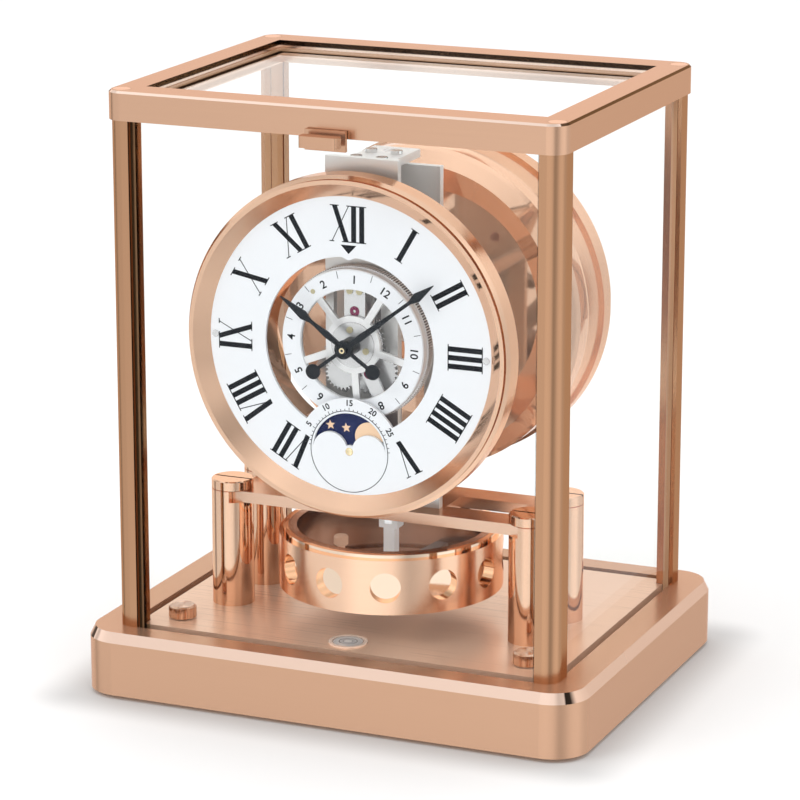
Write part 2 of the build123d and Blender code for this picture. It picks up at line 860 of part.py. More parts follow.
hour_back_y = hour_hand_y + hand_thickness
minute_back_y = minute_hand_y + hand_thickness
hour_collet_back_y = boss_front_y - pivot_end_gap
with BuildPart() as hour_hand:
    with BuildSketch(dial_plane(hour_back_y)):
        with BuildLine():
            Polyline(*hand_outline(hour_angle, hour_reach, hour_swell_at, hour_leaf_end, hour_tail), close=True)
        make_face()
        Circle(hand_hub_radius)
        with Locations(hand_point(hour_angle, -hour_tail, 0)):
            Circle(hand_disc_radius)
        Circle(hour_pipe_radius, mode=Mode.SUBTRACT)
    extrude(amount=hand_thickness)
    with BuildSketch(dial_plane(hour_collet_back_y)):
        Circle(hour_collet_radius)
        Circle(hour_pipe_radius, mode=Mode.SUBTRACT)
    extrude(amount=hour_collet_back_y - hour_back_y)
write_piece(hour_hand, "hour_hand")

with BuildPart() as minute_hand:
    with BuildSketch(dial_plane(minute_back_y)):
        with BuildLine():
            Polyline(
                *hand_outline(minute_angle, minute_reach, minute_swell_at, minute_leaf_end, minute_tail),
                close=True,
            )
        make_face()
        Circle(hand_hub_radius)
        with Locations(hand_point(minute_angle, -minute_tail, 0)):
            Circle(hand_disc_radius)
    extrude(amount=hand_thickness)
    with BuildSketch(dial_plane(minute_hand_y)):
        Circle(hand_nut_radius)
    extrude(amount=hand_nut_height)
    with BuildSketch(dial_plane(minute_back_y)):
        Circle(centre_arbor_radius)
    extrude(amount=hand_thickness, mode=Mode.SUBTRACT)
write_piece(minute_hand, "minute_hand")

# Front plate: a tall narrow plate with a window on each side of its middle column
plate_jewel_places = [escape_at, pallet_at]
with BuildPart() as front_plate:
    with BuildSketch(dial_plane(front_plate_back_y)):
        with Locations((0, (front_plate_top + front_plate_foot) / 2)):
            Rectangle(2 * front_plate_half, front_plate_top - front_plate_foot)
        front_window_middle = (front_window_low + front_window_high) / 2
        for window_left, window_right in (
            (front_window_left, -front_column_half),
            (front_column_half, front_window_right),
        ):
            with Locations(((window_left + window_right) / 2, front_window_middle)):
                Rectangle(window_right - window_left, front_window_high - front_window_low, mode=Mode.SUBTRACT)
        Circle(centre_arbor_radius + running_gap, mode=Mode.SUBTRACT)
        with Locations((0, -moon_drop)):
            Circle(moon_pin_radius + running_gap, mode=Mode.SUBTRACT)
        with Locations(barrel_at):
            Circle(barrel_arbor_radius + running_gap, mode=Mode.SUBTRACT)
        with Locations(minute_wheel_at, calendar_at):
            Circle(pivot_radius + running_gap, mode=Mode.SUBTRACT)
        with Locations(third_at):
            Circle(pivot_radius + pivot_end_gap, mode=Mode.SUBTRACT)
        with Locations(*plate_jewel_places):
            Circle(jewel_radius, mode=Mode.SUBTRACT)
    extrude(amount=front_plate_thickness)
write_piece(front_plate, "front_plate")

# Rear plate, which stands on the platform, carries the suspension and has the guide for the winding chain
rear_plate_foot = platform_top - dial_z
chain_front_y = pulley_back_y - pulley_width / 2 - chain_width / 2
guide_y = chain_front_y + chain_turn_radius
guide_rise = chain_width - chain_turn_radius
guide_radius = chain_turn_radius - chain_width - chain_gap
with BuildPart() as rear_plate:
    with BuildSketch(dial_plane(rear_plate_back_y)):
        with Locations((0, (rear_plate_top + rear_plate_foot) / 2)):
            Rectangle(2 * rear_plate_half, rear_plate_top - rear_plate_foot)
        with Locations(((rear_window_left + rear_window_middle) / 2, (rear_window_low + rear_window_high) / 2)):
            Rectangle(
                rear_window_middle - rear_window_left,
                rear_window_high - rear_window_low,
                mode=Mode.SUBTRACT,
            )
        with Locations(((rear_slot_left + rear_slot_right) / 2, (rear_slot_low + rear_slot_high) / 2)):
            Rectangle(rear_slot_right - rear_slot_left, rear_slot_high - rear_slot_low, mode=Mode.SUBTRACT)
        Circle(centre_arbor_radius + running_gap, mode=Mode.SUBTRACT)
        with Locations(barrel_at):
            Circle(barrel_arbor_radius + running_gap, mode=Mode.SUBTRACT)
        with Locations(third_at, *plate_jewel_places):
            Circle(jewel_radius, mode=Mode.SUBTRACT)
    extrude(amount=rear_plate_thickness)
    with BuildSketch(dial_plane(guide_y, (guide_post_x, guide_rise))):
        Circle(guide_post_radius)
    extrude(amount=guide_y - rear_plate_back_y)
    guide_end = (guide_post_x + guide_post_radius, guide_y, dial_z + guide_rise)
    with BuildSketch(Plane(origin=guide_end, x_dir=(0, 1, 0), z_dir=(-1, 0, 0))):
        Circle(guide_radius)
    extrude(amount=guide_roll_length)
write_piece(rear_plate, "rear_plate")

# Pillars between the plates
plate_pillar_places = [
    (side * plate_pillar_x, rise) for side in (-1, 1) for rise in (plate_pillar_high, plate_pillar_low)
]
with BuildPart() as plate_pillars:
    with BuildSketch(dial_plane(rear_plate_y)):
        with Locations(*plate_pillar_places):
            Circle(plate_pillar_radius)
    extrude(amount=rear_plate_y - front_plate_back_y)
write_piece(plate_pillars, "plate_pillars")

# Centre bridge: a disc on two arms, with a boss that the month wheel turns on
bridge_feet = [
    (-bridge_foot_spread, bridge_top_reach),
    (bridge_foot_spread, bridge_top_reach),
    polar(bridge_low_reach, minute_wheel_angle),
]
boss_screw_places = [
    polar(bridge_screw_at, bridge_screw_turn + index * 360.0 / bridge_screw_count)
    for index in range(bridge_screw_count)
]
screw_rows = ((bridge_front_y, bridge_feet), (boss_front_y, boss_screw_places))
bridge_jewel_places = [third_at, minute_wheel_at]
with BuildPart() as centre_bridge:
    with BuildSketch(dial_plane(bridge_back_y)):
        Circle(bridge_radius)
        with Locations((0, bridge_top_reach / 2)):
            Rectangle(bridge_top_width, bridge_top_reach)
        with Locations(Location(polar(bridge_low_reach / 2, minute_wheel_angle), minute_wheel_angle)):
            Rectangle(bridge_low_reach, bridge_low_width)
        with Locations(*bridge_feet):
            Circle(bridge_foot_radius + bridge_foot_edge)
    extrude(amount=bridge_thickness)
    with BuildSketch(dial_plane(bridge_front_y)):
        Circle(bridge_boss_radius)
    extrude(amount=bridge_front_y - boss_front_y)
    with BuildSketch(dial_plane(front_plate_y)):
        with Locations(*bridge_feet):
            Circle(bridge_foot_radius)
    extrude(amount=front_plate_y - bridge_back_y)
    with BuildSketch(dial_plane(bridge_back_y)):
        Circle(hour_pipe_radius + running_gap)
    extrude(amount=bridge_back_y - boss_front_y, mode=Mode.SUBTRACT)
    with BuildSketch(dial_plane(bridge_back_y)):
        with Locations(*bridge_jewel_places):
            Circle(jewel_radius)
    extrude(amount=bridge_thickness, mode=Mode.SUBTRACT)
    for row_y, places in screw_rows:
        with BuildSketch(dial_plane(row_y)):
            with Locations(*places):
                Circle(bridge_screw_radius / 2 + running_gap)
        extrude(amount=-bridge_screw_length, mode=Mode.SUBTRACT)
write_piece(centre_bridge, "centre_bridge")

# Jewels set in both plates and in the bridge
with BuildPart() as jewels:
    for back_y, thickness, places in (
        (front_plate_back_y, front_plate_thickness, plate_jewel_places),
        (rear_plate_back_y, rear_plate_thickness, [third_at] + plate_jewel_places),
        (bridge_back_y, bridge_thickness, bridge_jewel_places),
    ):
        with BuildSketch(dial_plane(back_y)):
            with Locations(*places):
                Circle(jewel_radius)
                Circle(pivot_radius + running_gap, mode=Mode.SUBTRACT)
        extrude(amount=thickness)
write_piece(jewels, "jewels")

# Small screws of the bridge
with BuildPart() as bridge_screws:
    for row_y, places in screw_rows:
        with BuildSketch(dial_plane(row_y)):
            with Locations(*places):
                Circle(bridge_screw_radius)
        extrude(amount=bridge_screw_head)
        with BuildSketch(dial_plane(row_y)):
            with Locations(*places):
                Circle(bridge_screw_radius / 2)
        extrude(amount=-bridge_screw_length)
write_piece(bridge_screws, "bridge_screws")

# Turns of the toothed wheels, so that each tooth faces a gap
cannon_turn = 0.0
minute_wheel_turn = mesh_turn(minute_wheel_teeth, cannon_teeth, cannon_turn, minute_wheel_angle)
hour_turn = 0.0
minute_pinion_turn = mesh_turn(minute_pinion_teeth, hour_wheel_teeth, hour_turn, minute_wheel_angle)
calendar_turn = mesh_turn(calendar_teeth, hour_upper_teeth, hour_turn, calendar_angle)
centre_turn = 0.0
third_pinion_turn = mesh_turn(train_pinion_teeth, train_wheel_teeth, centre_turn, third_angle)
third_turn = 0.0
escape_pinion_turn = mesh_turn(train_pinion_teeth, train_wheel_teeth, third_turn, escape_angle)
barrel_turn = mesh_turn(barrel_teeth, centre_pinion_teeth, centre_turn, barrel_angle)

# Centre wheel: the minute arbor with its cannon pinion, wheel and driven pinion
with BuildPart() as centre_wheel:
    with BuildSketch(dial_plane(rear_plate_back_y)):
        Circle(centre_arbor_radius)
    extrude(amount=rear_plate_back_y - minute_hand_y)
    with BuildSketch(dial_plane(cannon_back_y)):
        with BuildLine():
            Polyline(*tooth_outline(cannon_teeth, motion_module, cannon_turn), close=True)
        make_face()
    extrude(amount=motion_layer)
    with BuildSketch(dial_plane(centre_wheel_y + train_wheel_thickness / 2)):
        with BuildLine():
            Polyline(*tooth_outline(train_wheel_teeth, train_module, centre_turn), close=True)
        make_face()
    extrude(amount=train_wheel_thickness)
    with BuildSketch(dial_plane(barrel_wheel_y + barrel_wheel_thickness)):
        with BuildLine():
            Polyline(*tooth_outline(centre_pinion_teeth, barrel_module, centre_turn), close=True)
        make_face()
    extrude(amount=2 * barrel_wheel_thickness)
write_piece(centre_wheel, "centre_wheel")

# Minute wheel and its pinion, on an arbor in the front plate
with BuildPart() as minute_wheel:
    with BuildSketch(dial_plane(front_plate_back_y, minute_wheel_at)):
        Circle(pivot_radius)
    extrude(amount=front_plate_back_y - bridge_front_y)
    with BuildSketch(dial_plane(cannon_back_y, minute_wheel_at)):
        with BuildLine():
            Polyline(*tooth_outline(minute_wheel_teeth, motion_module, minute_wheel_turn), close=True)
        make_face()
    extrude(amount=motion_layer)
    with BuildSketch(dial_plane(hour_layer_back_y, minute_wheel_at)):
        with BuildLine():
            Polyline(*tooth_outline(minute_pinion_teeth, motion_module, minute_pinion_turn), close=True)
        make_face()
    extrude(amount=motion_layer)
write_piece(minute_wheel, "minute_wheel")

# Hour wheel with its upper gear and the pipe that carries the hour hand
with BuildPart() as hour_wheel:
    with BuildSketch(dial_plane(hour_layer_back_y)):
        with BuildLine():
            Polyline(*tooth_outline(hour_wheel_teeth, motion_module, hour_turn), close=True)
        make_face()
    extrude(amount=motion_layer)
    with BuildSketch(dial_plane(calendar_layer_back_y)):
        with BuildLine():
            Polyline(*tooth_outline(hour_upper_teeth, calendar_module, hour_turn), close=True)
        make_face()
    extrude(amount=motion_layer)
    with BuildSketch(dial_plane(hour_layer_back_y)):
        Circle(hour_pipe_radius)
    extrude(amount=hour_layer_back_y - hour_hand_y)
    with BuildSketch(dial_plane(hour_layer_back_y)):
        Circle(centre_arbor_radius + running_gap)
    extrude(amount=hour_layer_back_y - hour_hand_y, mode=Mode.SUBTRACT)
write_piece(hour_wheel, "hour_wheel")

# Calendar gear on its arbor in the front plate
with BuildPart() as calendar_gear:
    with BuildSketch(dial_plane(front_plate_back_y, calendar_at)):
        Circle(pivot_radius)
    extrude(amount=front_plate_back_y - calendar_layer_back_y + motion_layer)
    with BuildSketch(dial_plane(calendar_layer_back_y, calendar_at)):
        with BuildLine():
            Polyline(*tooth_outline(calendar_teeth, calendar_module, calendar_turn), close=True)
        make_face()
    extrude(amount=motion_layer)
write_piece(calendar_gear, "calendar_gear")

# Month wheel: a flat ring on spokes, with a deep rim that is finely toothed at its back
month_points = []
for index in range(2 * month_teeth):
    month_radius = month_rim_radius + month_tooth_rise - month_tooth_depth * (index % 2)
    month_points.append(polar(month_radius, index * 180.0 / month_teeth))
with BuildPart() as month_wheel:
    with BuildSketch(dial_plane(month_wheel_back_y)):
        Circle(month_rim_radius)
        Circle(month_web_inner, mode=Mode.SUBTRACT)
        Circle(month_hub_radius)
        for index in range(month_spokes):
            spoke_angle = month_spoke_turn + index * 360.0 / month_spokes
            with Locations(Location(polar(month_web_inner / 2, spoke_angle), spoke_angle)):
                Rectangle(month_web_inner + month_rim_wall, month_spoke_width)
        Circle(bridge_boss_radius + running_gap, mode=Mode.SUBTRACT)
    extrude(amount=month_wheel_thickness)
    with BuildSketch(dial_plane(month_rim_back_y)):
        Circle(month_rim_radius)
        Circle(month_rim_radius - month_rim_wall, mode=Mode.SUBTRACT)
    extrude(amount=month_rim_back_y - month_wheel_back_y)
    with BuildSketch(dial_plane(month_rim_back_y)):
        with BuildLine():
            Polyline(*month_points, close=True)
        make_face()
        Circle(month_rim_radius - month_rim_wall, mode=Mode.SUBTRACT)
    extrude(amount=month_tooth_length)
write_piece(month_wheel, "month_wheel")

# White ring on the front of the month wheel
with BuildPart() as month_ring:
    with BuildSketch(dial_plane(month_wheel_back_y - month_wheel_thickness)):
        Circle(month_ring_outer)
        Circle(month_ring_inner, mode=Mode.SUBTRACT)
    extrude(amount=month_ring_thickness)
write_piece(month_ring, "month_ring")

# Third wheel and its pinion
train_arbor_length = rear_plate_back_y - front_plate_y
with BuildPart() as third_wheel:
    with BuildSketch(dial_plane(rear_plate_back_y, third_at)):
        Circle(pivot_radius)
    extrude(amount=rear_plate_back_y - bridge_front_y)
    with BuildSketch(dial_plane(centre_wheel_y + train_pinion_length / 2, third_at)):
        with BuildLine():
            Polyline(*tooth_outline(train_pinion_teeth, train_module, third_pinion_turn), close=True)
        make_face()
    extrude(amount=train_pinion_length)
    with BuildSketch(dial_plane(third_wheel_y + train_wheel_thickness / 2, third_at)):
        with BuildLine():
            Polyline(*tooth_outline(train_wheel_teeth, train_module, third_turn), close=True)
        make_face()
    extrude(amount=train_wheel_thickness)
write_piece(third_wheel, "third_wheel")

# Escape wheel: hooked teeth on a pinion
escape_points = []
for index in range(escape_teeth):
    escape_step = 360.0 / escape_teeth
    escape_points.append(polar(escape_radius - escape_tooth_depth, index * escape_step))
    escape_points.append(polar(escape_radius, index * escape_step + escape_step * 0.4))
    escape_points.append(polar(escape_radius, index * escape_step + escape_step * 0.5))
    escape_points.append(polar(escape_radius - escape_tooth_depth, index * escape_step + escape_step * 0.6))
with BuildPart() as escape_wheel:
    with BuildSketch(dial_plane(rear_plate_back_y, escape_at)):
        Circle(pivot_radius)
    extrude(amount=train_arbor_length)
    with BuildSketch(dial_plane(third_wheel_y + train_pinion_length / 2, escape_at)):
        with BuildLine():
            Polyline(*tooth_outline(train_pinion_teeth, train_module, escape_pinion_turn), close=True)
        make_face()
    extrude(amount=train_pinion_length)
    with BuildSketch(dial_plane(escape_wheel_y + train_wheel_thickness / 2, escape_at)):
        with BuildLine():
            Polyline(*escape_points, close=True)
        make_face()
    extrude(amount=train_wheel_thickness)
write_piece(escape_wheel, "escape_wheel")

# Pallet lever: an arbor, two arms and a stone at the end of each
with BuildPart() as pallet_lever:
    with BuildSketch(dial_plane(rear_plate_back_y, pallet_at)):
        Circle(pivot_radius)
    extrude(amount=train_arbor_length)
    with BuildSketch(dial_plane(escape_wheel_y + train_wheel_thickness / 2, pallet_at)):
        Circle(pallet_arm_width)
        with BuildLine():
            Polyline(
                (0, pallet_arm_width),
                (pallet_span, -pallet_stone_drop / 2),
                (pallet_span, -pallet_stone_drop),
                (pallet_span - pallet_arm_width / 2, -pallet_stone_drop),
                (pallet_span - pallet_arm_width, -pallet_arm_width),
                (0, -pallet_arm_width / 2),
                (pallet_arm_width - pallet_span, -pallet_arm_width),
                (pallet_arm_width / 2 - pallet_span, -pallet_stone_drop),
                (-pallet_span, -pallet_stone_drop),
                (-pallet_span, -pallet_stone_drop / 2),
                close=True,
            )
        make_face()
    extrude(amount=train_wheel_thickness)
write_piece(pallet_lever, "pallet_lever")

# Barrel: a toothed great wheel with a hollow drum for the mainspring
barrel_wheel_front_y = barrel_wheel_y - barrel_wheel_thickness / 2
with BuildPart() as barrel:
    with BuildSketch(dial_plane(barrel_wheel_front_y + barrel_wheel_thickness, barrel_at)):
        with BuildLine():
            Polyline(*tooth_outline(barrel_teeth, barrel_module, barrel_turn), close=True)
        make_face()
        Circle(barrel_arbor_radius + running_gap, mode=Mode.SUBTRACT)
    extrude(amount=barrel_wheel_thickness)
    with BuildSketch(dial_plane(barrel_wheel_front_y, barrel_at)):
        Circle(barrel_radius)
        Circle(barrel_radius - barrel_wall, mode=Mode.SUBTRACT)
    extrude(amount=barrel_depth)
    with BuildSketch(dial_plane(barrel_wheel_front_y - barrel_depth + barrel_wall, barrel_at)):
        Circle(barrel_radius)
        Circle(barrel_arbor_radius + running_gap, mode=Mode.SUBTRACT)
    extrude(amount=barrel_wall)
write_piece(barrel, "barrel")

# Mainspring: a flat strip wound from the arbor to the barrel's wall
spring_inner = barrel_arbor_radius + 3 * mainspring_strip
spring_outer = barrel_radius - barrel_wall - mainspring_strip / 2
outer_side = []
inner_side = []
for index in range(int(mainspring_turns * mainspring_steps) + 1):
    share = index / (mainspring_turns * mainspring_steps)
    strip_radius = spring_inner + (spring_outer - spring_inner) * share
    strip_angle = share * mainspring_turns * 360.0
    outer_side.append(polar(strip_radius + mainspring_strip / 2, strip_angle))
    inner_side.append(polar(strip_radius - mainspring_strip / 2, strip_angle))
with BuildPart() as mainspring:
    with BuildSketch(dial_plane(barrel_wheel_front_y - barrel_wall / 2, barrel_at)):
        with BuildLine():
            Polyline(*(outer_side + inner_side[::-1]), close=True)
        make_face()
    extrude(amount=barrel_depth - 2 * barrel_wall)
write_piece(mainspring, "mainspring")

# Winding arbor with the pulley behind the rear plate
with BuildPart() as winding_arbor:
    with BuildSketch(dial_plane(pulley_back_y, barrel_at)):
        Circle(barrel_arbor_radius)
    extrude(amount=pulley_back_y - front_plate_y)
    with BuildSketch(dial_plane(pulley_back_y, barrel_at)):
        Circle(pulley_radius)
    extrude(amount=pulley_width)
write_piece(winding_arbor, "winding_arbor")

# Suspension bracket on the rear tower, against the front tower
bracket_bottom = dial_z + rear_plate_top
bracket_top = bracket_bottom + bracket_thickness
with BuildPart() as suspension_bracket:
    with BuildSketch(level_plane(bracket_bottom)):
        with Locations((0, (front_plate_back_y + bracket_rear_y) / 2)):
            Rectangle(2 * bracket_half_width, bracket_rear_y - front_plate_back_y)
        with Locations((0, pendulum_y)):
            Circle(clamp_radius, mode=Mode.SUBTRACT)
    extrude(amount=bracket_thickness)
write_piece(suspension_bracket, "suspension_bracket")

with BuildPart() as bracket_screws:
    with BuildSketch(level_plane(bracket_top)):
        for screw_y in (bracket_screw_front_y, bracket_screw_rear_y):
            with Locations((bracket_screw_x, screw_y), (-bracket_screw_x, screw_y)):
                Circle(bracket_screw_radius)
    extrude(amount=bracket_screw_height)
    with BuildSketch(level_plane(bracket_top + bracket_screw_height)):
        for screw_y in (bracket_screw_front_y, bracket_screw_rear_y):
            with Locations((bracket_screw_x, screw_y), (-bracket_screw_x, screw_y)):
                Rectangle(2 * bracket_screw_radius, pillar_slot_width / 2)
    extrude(amount=-pillar_slot_depth / 2, mode=Mode.SUBTRACT)
write_piece(bracket_screws, "bracket_screws")

# Clamp and torsion wire
wire_top = bracket_bottom - clamp_length
wire_bottom = deck + stem_top
with BuildPart() as suspension_clamp:
    with BuildSketch(level_plane(wire_top)):
        with Locations((0, pendulum_y)):
            Circle(clamp_radius)
    extrude(amount=bracket_top - wire_top)
write_piece(suspension_clamp, "suspension_clamp")

with BuildPart() as torsion_wire:
    with BuildSketch(level_plane(wire_bottom)):
        with Locations((0, pendulum_y)):
            Circle(wire_radius)
    extrude(amount=wire_top - wire_bottom)
write_piece(torsion_wire, "torsion_wire")

# Pendulum ring: a perforated band with a ledge below and a stepped rim above
ring_floor = deck + ring_bottom
ring_top = ring_floor + ring_height
hub_floor = deck + hub_bottom
with BuildPart() as pendulum_ring:
    with BuildSketch(pendulum_plane()):
        with BuildLine():
            Polyline(
                (ring_rim_inner, ring_floor),
                (ring_radius, ring_floor),
                (ring_radius, ring_top),
                (ring_radius - ring_rim_step, ring_top),
                (ring_radius - ring_rim_step, ring_top + ring_rim_height),
                (ring_rim_inner, ring_top + ring_rim_height),
                (ring_rim_inner, ring_top - ring_rim_height),
                (ring_inner, ring_top - ring_rim_height),
                (ring_inner, hub_floor),
                (ring_rim_inner, hub_floor),
                close=True,
            )
        make_face()
    revolve(axis=pendulum_axis)
    for index in range(ring_hole_count):
        hole_way = polar(1.0, ring_hole_turn + index * 360.0 / ring_hole_count)
        hole_floor = ring_radius - ring_hole_depth
        hole_plane = Plane(
            origin=(hole_floor * hole_way[0], pendulum_y + hole_floor * hole_way[1], ring_floor + ring_hole_rise),
            x_dir=(0, 0, 1),
            z_dir=(hole_way[0], hole_way[1], 0),
        )
        with BuildSketch(hole_plane):
            Circle(ring_hole_radius)
        extrude(amount=2 * ring_hole_depth, mode=Mode.SUBTRACT)
write_piece(pendulum_ring, "pendulum_ring")

# Pendulum hub with spokes that lie on the ring's ledge
with BuildPart() as pendulum_hub:
    with BuildSketch(Plane((0, pendulum_y, hub_floor))):
        Circle(hub_radius)
        for index in range(spoke_count):
            spoke_angle = spoke_turn + index * 360.0 / spoke_count
            with Locations(Location(polar(ring_inner / 2, spoke_angle), spoke_angle)):
                Rectangle(ring_inner, spoke_width)
        Circle(ring_inner - screw_gap, mode=Mode.INTERSECT)
    extrude(amount=hub_thickness)
write_piece(pendulum_hub, "pendulum_hub")

# Pendulum stem on the hub, with a small square window
with BuildPart() as pendulum_stem:
    with BuildSketch(Plane((0, pendulum_y, hub_floor + hub_thickness))):
        Rectangle(stem_neck, stem_neck)
    extrude(amount=wire_bottom - hub_floor - hub_thickness)
    with BuildSketch(Plane((0, pendulum_y, wire_bottom - stem_block_height))):
        Rectangle(stem_width, stem_depth)
    extrude(amount=stem_block_height)
    with Locations((0, pendulum_y, deck + stem_window_height)):
        Box(stem_window, 2 * stem_depth, stem_window, mode=Mode.SUBTRACT)
write_piece(pendulum_stem, "pendulum_stem")

# Trim weights: two mushroom knobs on opposite spokes
weight_base = hub_floor + hub_thickness
with BuildPart() as trim_weights:
    for weight_turn in (spoke_turn, spoke_turn + 180.0):
        weight_at = polar(trim_weight_at, weight_turn)
        with BuildSketch(Plane((weight_at[0], weight_at[1] + pendulum_y, weight_base))):
            Circle(trim_weight_neck)
        extrude(amount=trim_weight_height / 2)
        with BuildSketch(Plane((weight_at[0], weight_at[1] + pendulum_y, weight_base + trim_weight_height / 2))):
            Circle(trim_weight_radius)
        extrude(amount=trim_weight_height / 2, taper=20)
write_piece(trim_weights, "trim_weights")

# Bellows drum: front dish with the nose, and the rear shell with its flange
shell_inner = drum_radius - drum_wall
nose_back_y = drum_front_y + drum_nose_depth
dish_back_y = dish_floor_y + dish_thickness
with BuildPart() as drum_dish:
    with BuildSketch(Plane.XY.offset(dial_z)):
        with BuildLine():
            Polyline(
                (drum_mouth_radius, drum_front_y),
                (drum_nose_radius, nose_back_y),
                (drum_radius, nose_back_y + drum_wall / 2),
                (drum_radius, drum_joint_y - joint_groove),
                (drum_radius - joint_groove, drum_joint_y),
                (shell_inner, drum_joint_y),
                (shell_inner, nose_back_y + drum_wall),
                (drum_mouth_radius + drum_wall / 2, drum_front_y + drum_nose_depth),
                (dish_floor_radius + dish_thickness, dish_back_y),
                (dish_hole_radius, dish_back_y),
                (dish_hole_radius, dish_floor_y),
                (dish_floor_radius, dish_floor_y),
                close=True,
            )
        make_face()
    revolve(axis=dial_axis)
write_piece(drum_dish, "drum_dish")

cover_inner = shell_inner - drum_wall
cover_floor_y = drum_back_y - cover_wall
with BuildPart() as drum_shell:
    with BuildSketch(Plane.XY.offset(dial_z)):
        with BuildLine():
            Polyline(
                (shell_inner, drum_joint_y),
                (drum_radius - joint_groove, drum_joint_y),
                (drum_radius, drum_joint_y + joint_groove),
                (drum_radius, flange_y),
                (flange_radius, flange_y),
                (flange_radius, cover_step_y),
                (cover_step_radius, cover_step_y),
                (cover_step_radius, drum_back_y),
                (0, drum_back_y),
                (0, cover_floor_y),
                (cover_inner, cover_floor_y),
                (cover_inner, flange_y),
                (shell_inner, flange_y - drum_wall),
                close=True,
            )
        make_face()
    revolve(axis=dial_axis)
write_piece(drum_shell, "drum_shell")

# Bellows: a thin folded tube on the shell's floor
fold_step = (cover_floor_y - bellows_front_y) / (2 * bellows_folds)
fold_outer = []
fold_inner = []
for index in range(2 * bellows_folds + 1):
    fold_radius = bellows_radius - bellows_fold_depth * ((index + 1) % 2)
    fold_outer.append((fold_radius, bellows_front_y + index * fold_step))
    fold_inner.append((fold_radius - bellows_wall, bellows_front_y + index * fold_step))
with BuildPart() as bellows:
    with BuildSketch(Plane.XY.offset(dial_z)):
        with BuildLine():
            Polyline(*(fold_outer + fold_inner[::-1]), close=True)
        make_face()
    revolve(axis=dial_axis)
write_piece(bellows, "bellows")

# Bellows cap with the stud that pulls the chain
stud_front_y = dish_floor_y - cap_stud_radius
with BuildPart() as bellows_cap:
    with BuildSketch(dial_plane(bellows_front_y)):
        Circle(bellows_radius - bellows_wall)
    extrude(amount=cap_thickness)
    with BuildSketch(dial_plane(bellows_front_y)):
        Circle(cap_stud_radius)
    extrude(amount=bellows_front_y - stud_front_y)
write_piece(bellows_cap, "bellows_cap")

# Return spring between the dish and the cap
spring_front_y = dish_back_y + spring_wire / 2
spring_back_y = bellows_front_y - cap_thickness - spring_wire / 2
spring_pitch = (spring_back_y - spring_front_y) / spring_turns
with BuildPart() as return_spring:
    with BuildLine() as spring_path:
        Helix(
            spring_pitch,
            spring_back_y - spring_front_y,
            spring_radius,
            center=(0, spring_front_y, dial_z),
            direction=(0, 1, 0),
        )
    with BuildSketch(Plane(spring_path.line @ 0, z_dir=spring_path.line % 0)):
        RegularPolygon(spring_wire / 2, 8)
    sweep(path=spring_path.line, is_frenet=True)
write_piece(return_spring, "return_spring")
spring_points = []
for index in range(96 * spring_turns + 1):
    spring_angle = index * 360.0 / 96
    spring_at = polar(spring_radius, spring_angle)
    spring_points.append((spring_at[0], spring_at[1], spring_pitch * index / 96))
least_gap = min(
    math.dist(spring_points[first], spring_points[second]) - spring_wire
    for first in range(len(spring_points))
    for second in range(first + 48, len(spring_points))
)
print(f"return spring: least gap to itself {least_gap:.2f} mm")

# Posts that carry the drum on the rear plate
drum_post_places = [(side * drum_post_x, rise) for side in (-1, 1) for rise in (drum_post_high, drum_post_low)]
with BuildPart() as drum_posts:
    with BuildSketch(dial_plane(dish_floor_y)):
        with Locations(*drum_post_places):
            Circle(drum_post_radius)
    extrude(amount=dish_floor_y - rear_plate_back_y)
write_piece(drum_posts, "drum_posts")

# Winding chain: a strip from the stud over the guide and down beside the pulley
chain_inner_x = barrel_at[0] + pulley_radius + screw_gap
chain_back_y = chain_front_y + chain_width
turn_share = 1 - math.sqrt(0.5)
outer_bend = (chain_front_y + chain_turn_radius * turn_share, chain_width - chain_turn_radius * turn_share)
inner_radius = chain_turn_radius - chain_width
inner_bend = (chain_back_y + inner_radius * turn_share, -inner_radius * turn_share)
with BuildPart() as winding_chain:
    with BuildSketch(Plane(origin=(chain_inner_x, 0, dial_z), x_dir=(0, 1, 0), z_dir=(1, 0, 0))):
        with BuildLine():
            Polyline(
                (stud_front_y, 0),
                (stud_front_y, chain_width),
                (guide_y, chain_width),
            )
            ThreePointArc((guide_y, chain_width), outer_bend, (chain_front_y, guide_rise))
            Polyline(
                (chain_front_y, guide_rise),
                (chain_front_y, barrel_at[1]),
                (chain_back_y, barrel_at[1]),
                (chain_back_y, guide_rise),
            )
            ThreePointArc((chain_back_y, guide_rise), inner_bend, (guide_y, 0))
            Line((guide_y, 0), (stud_front_y, 0))
        make_face()
    extrude(amount=chain_width)
write_piece(winding_chain, "winding_chain")
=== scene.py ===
import math

import bmesh
import bpy
from mathutils import Matrix, Vector


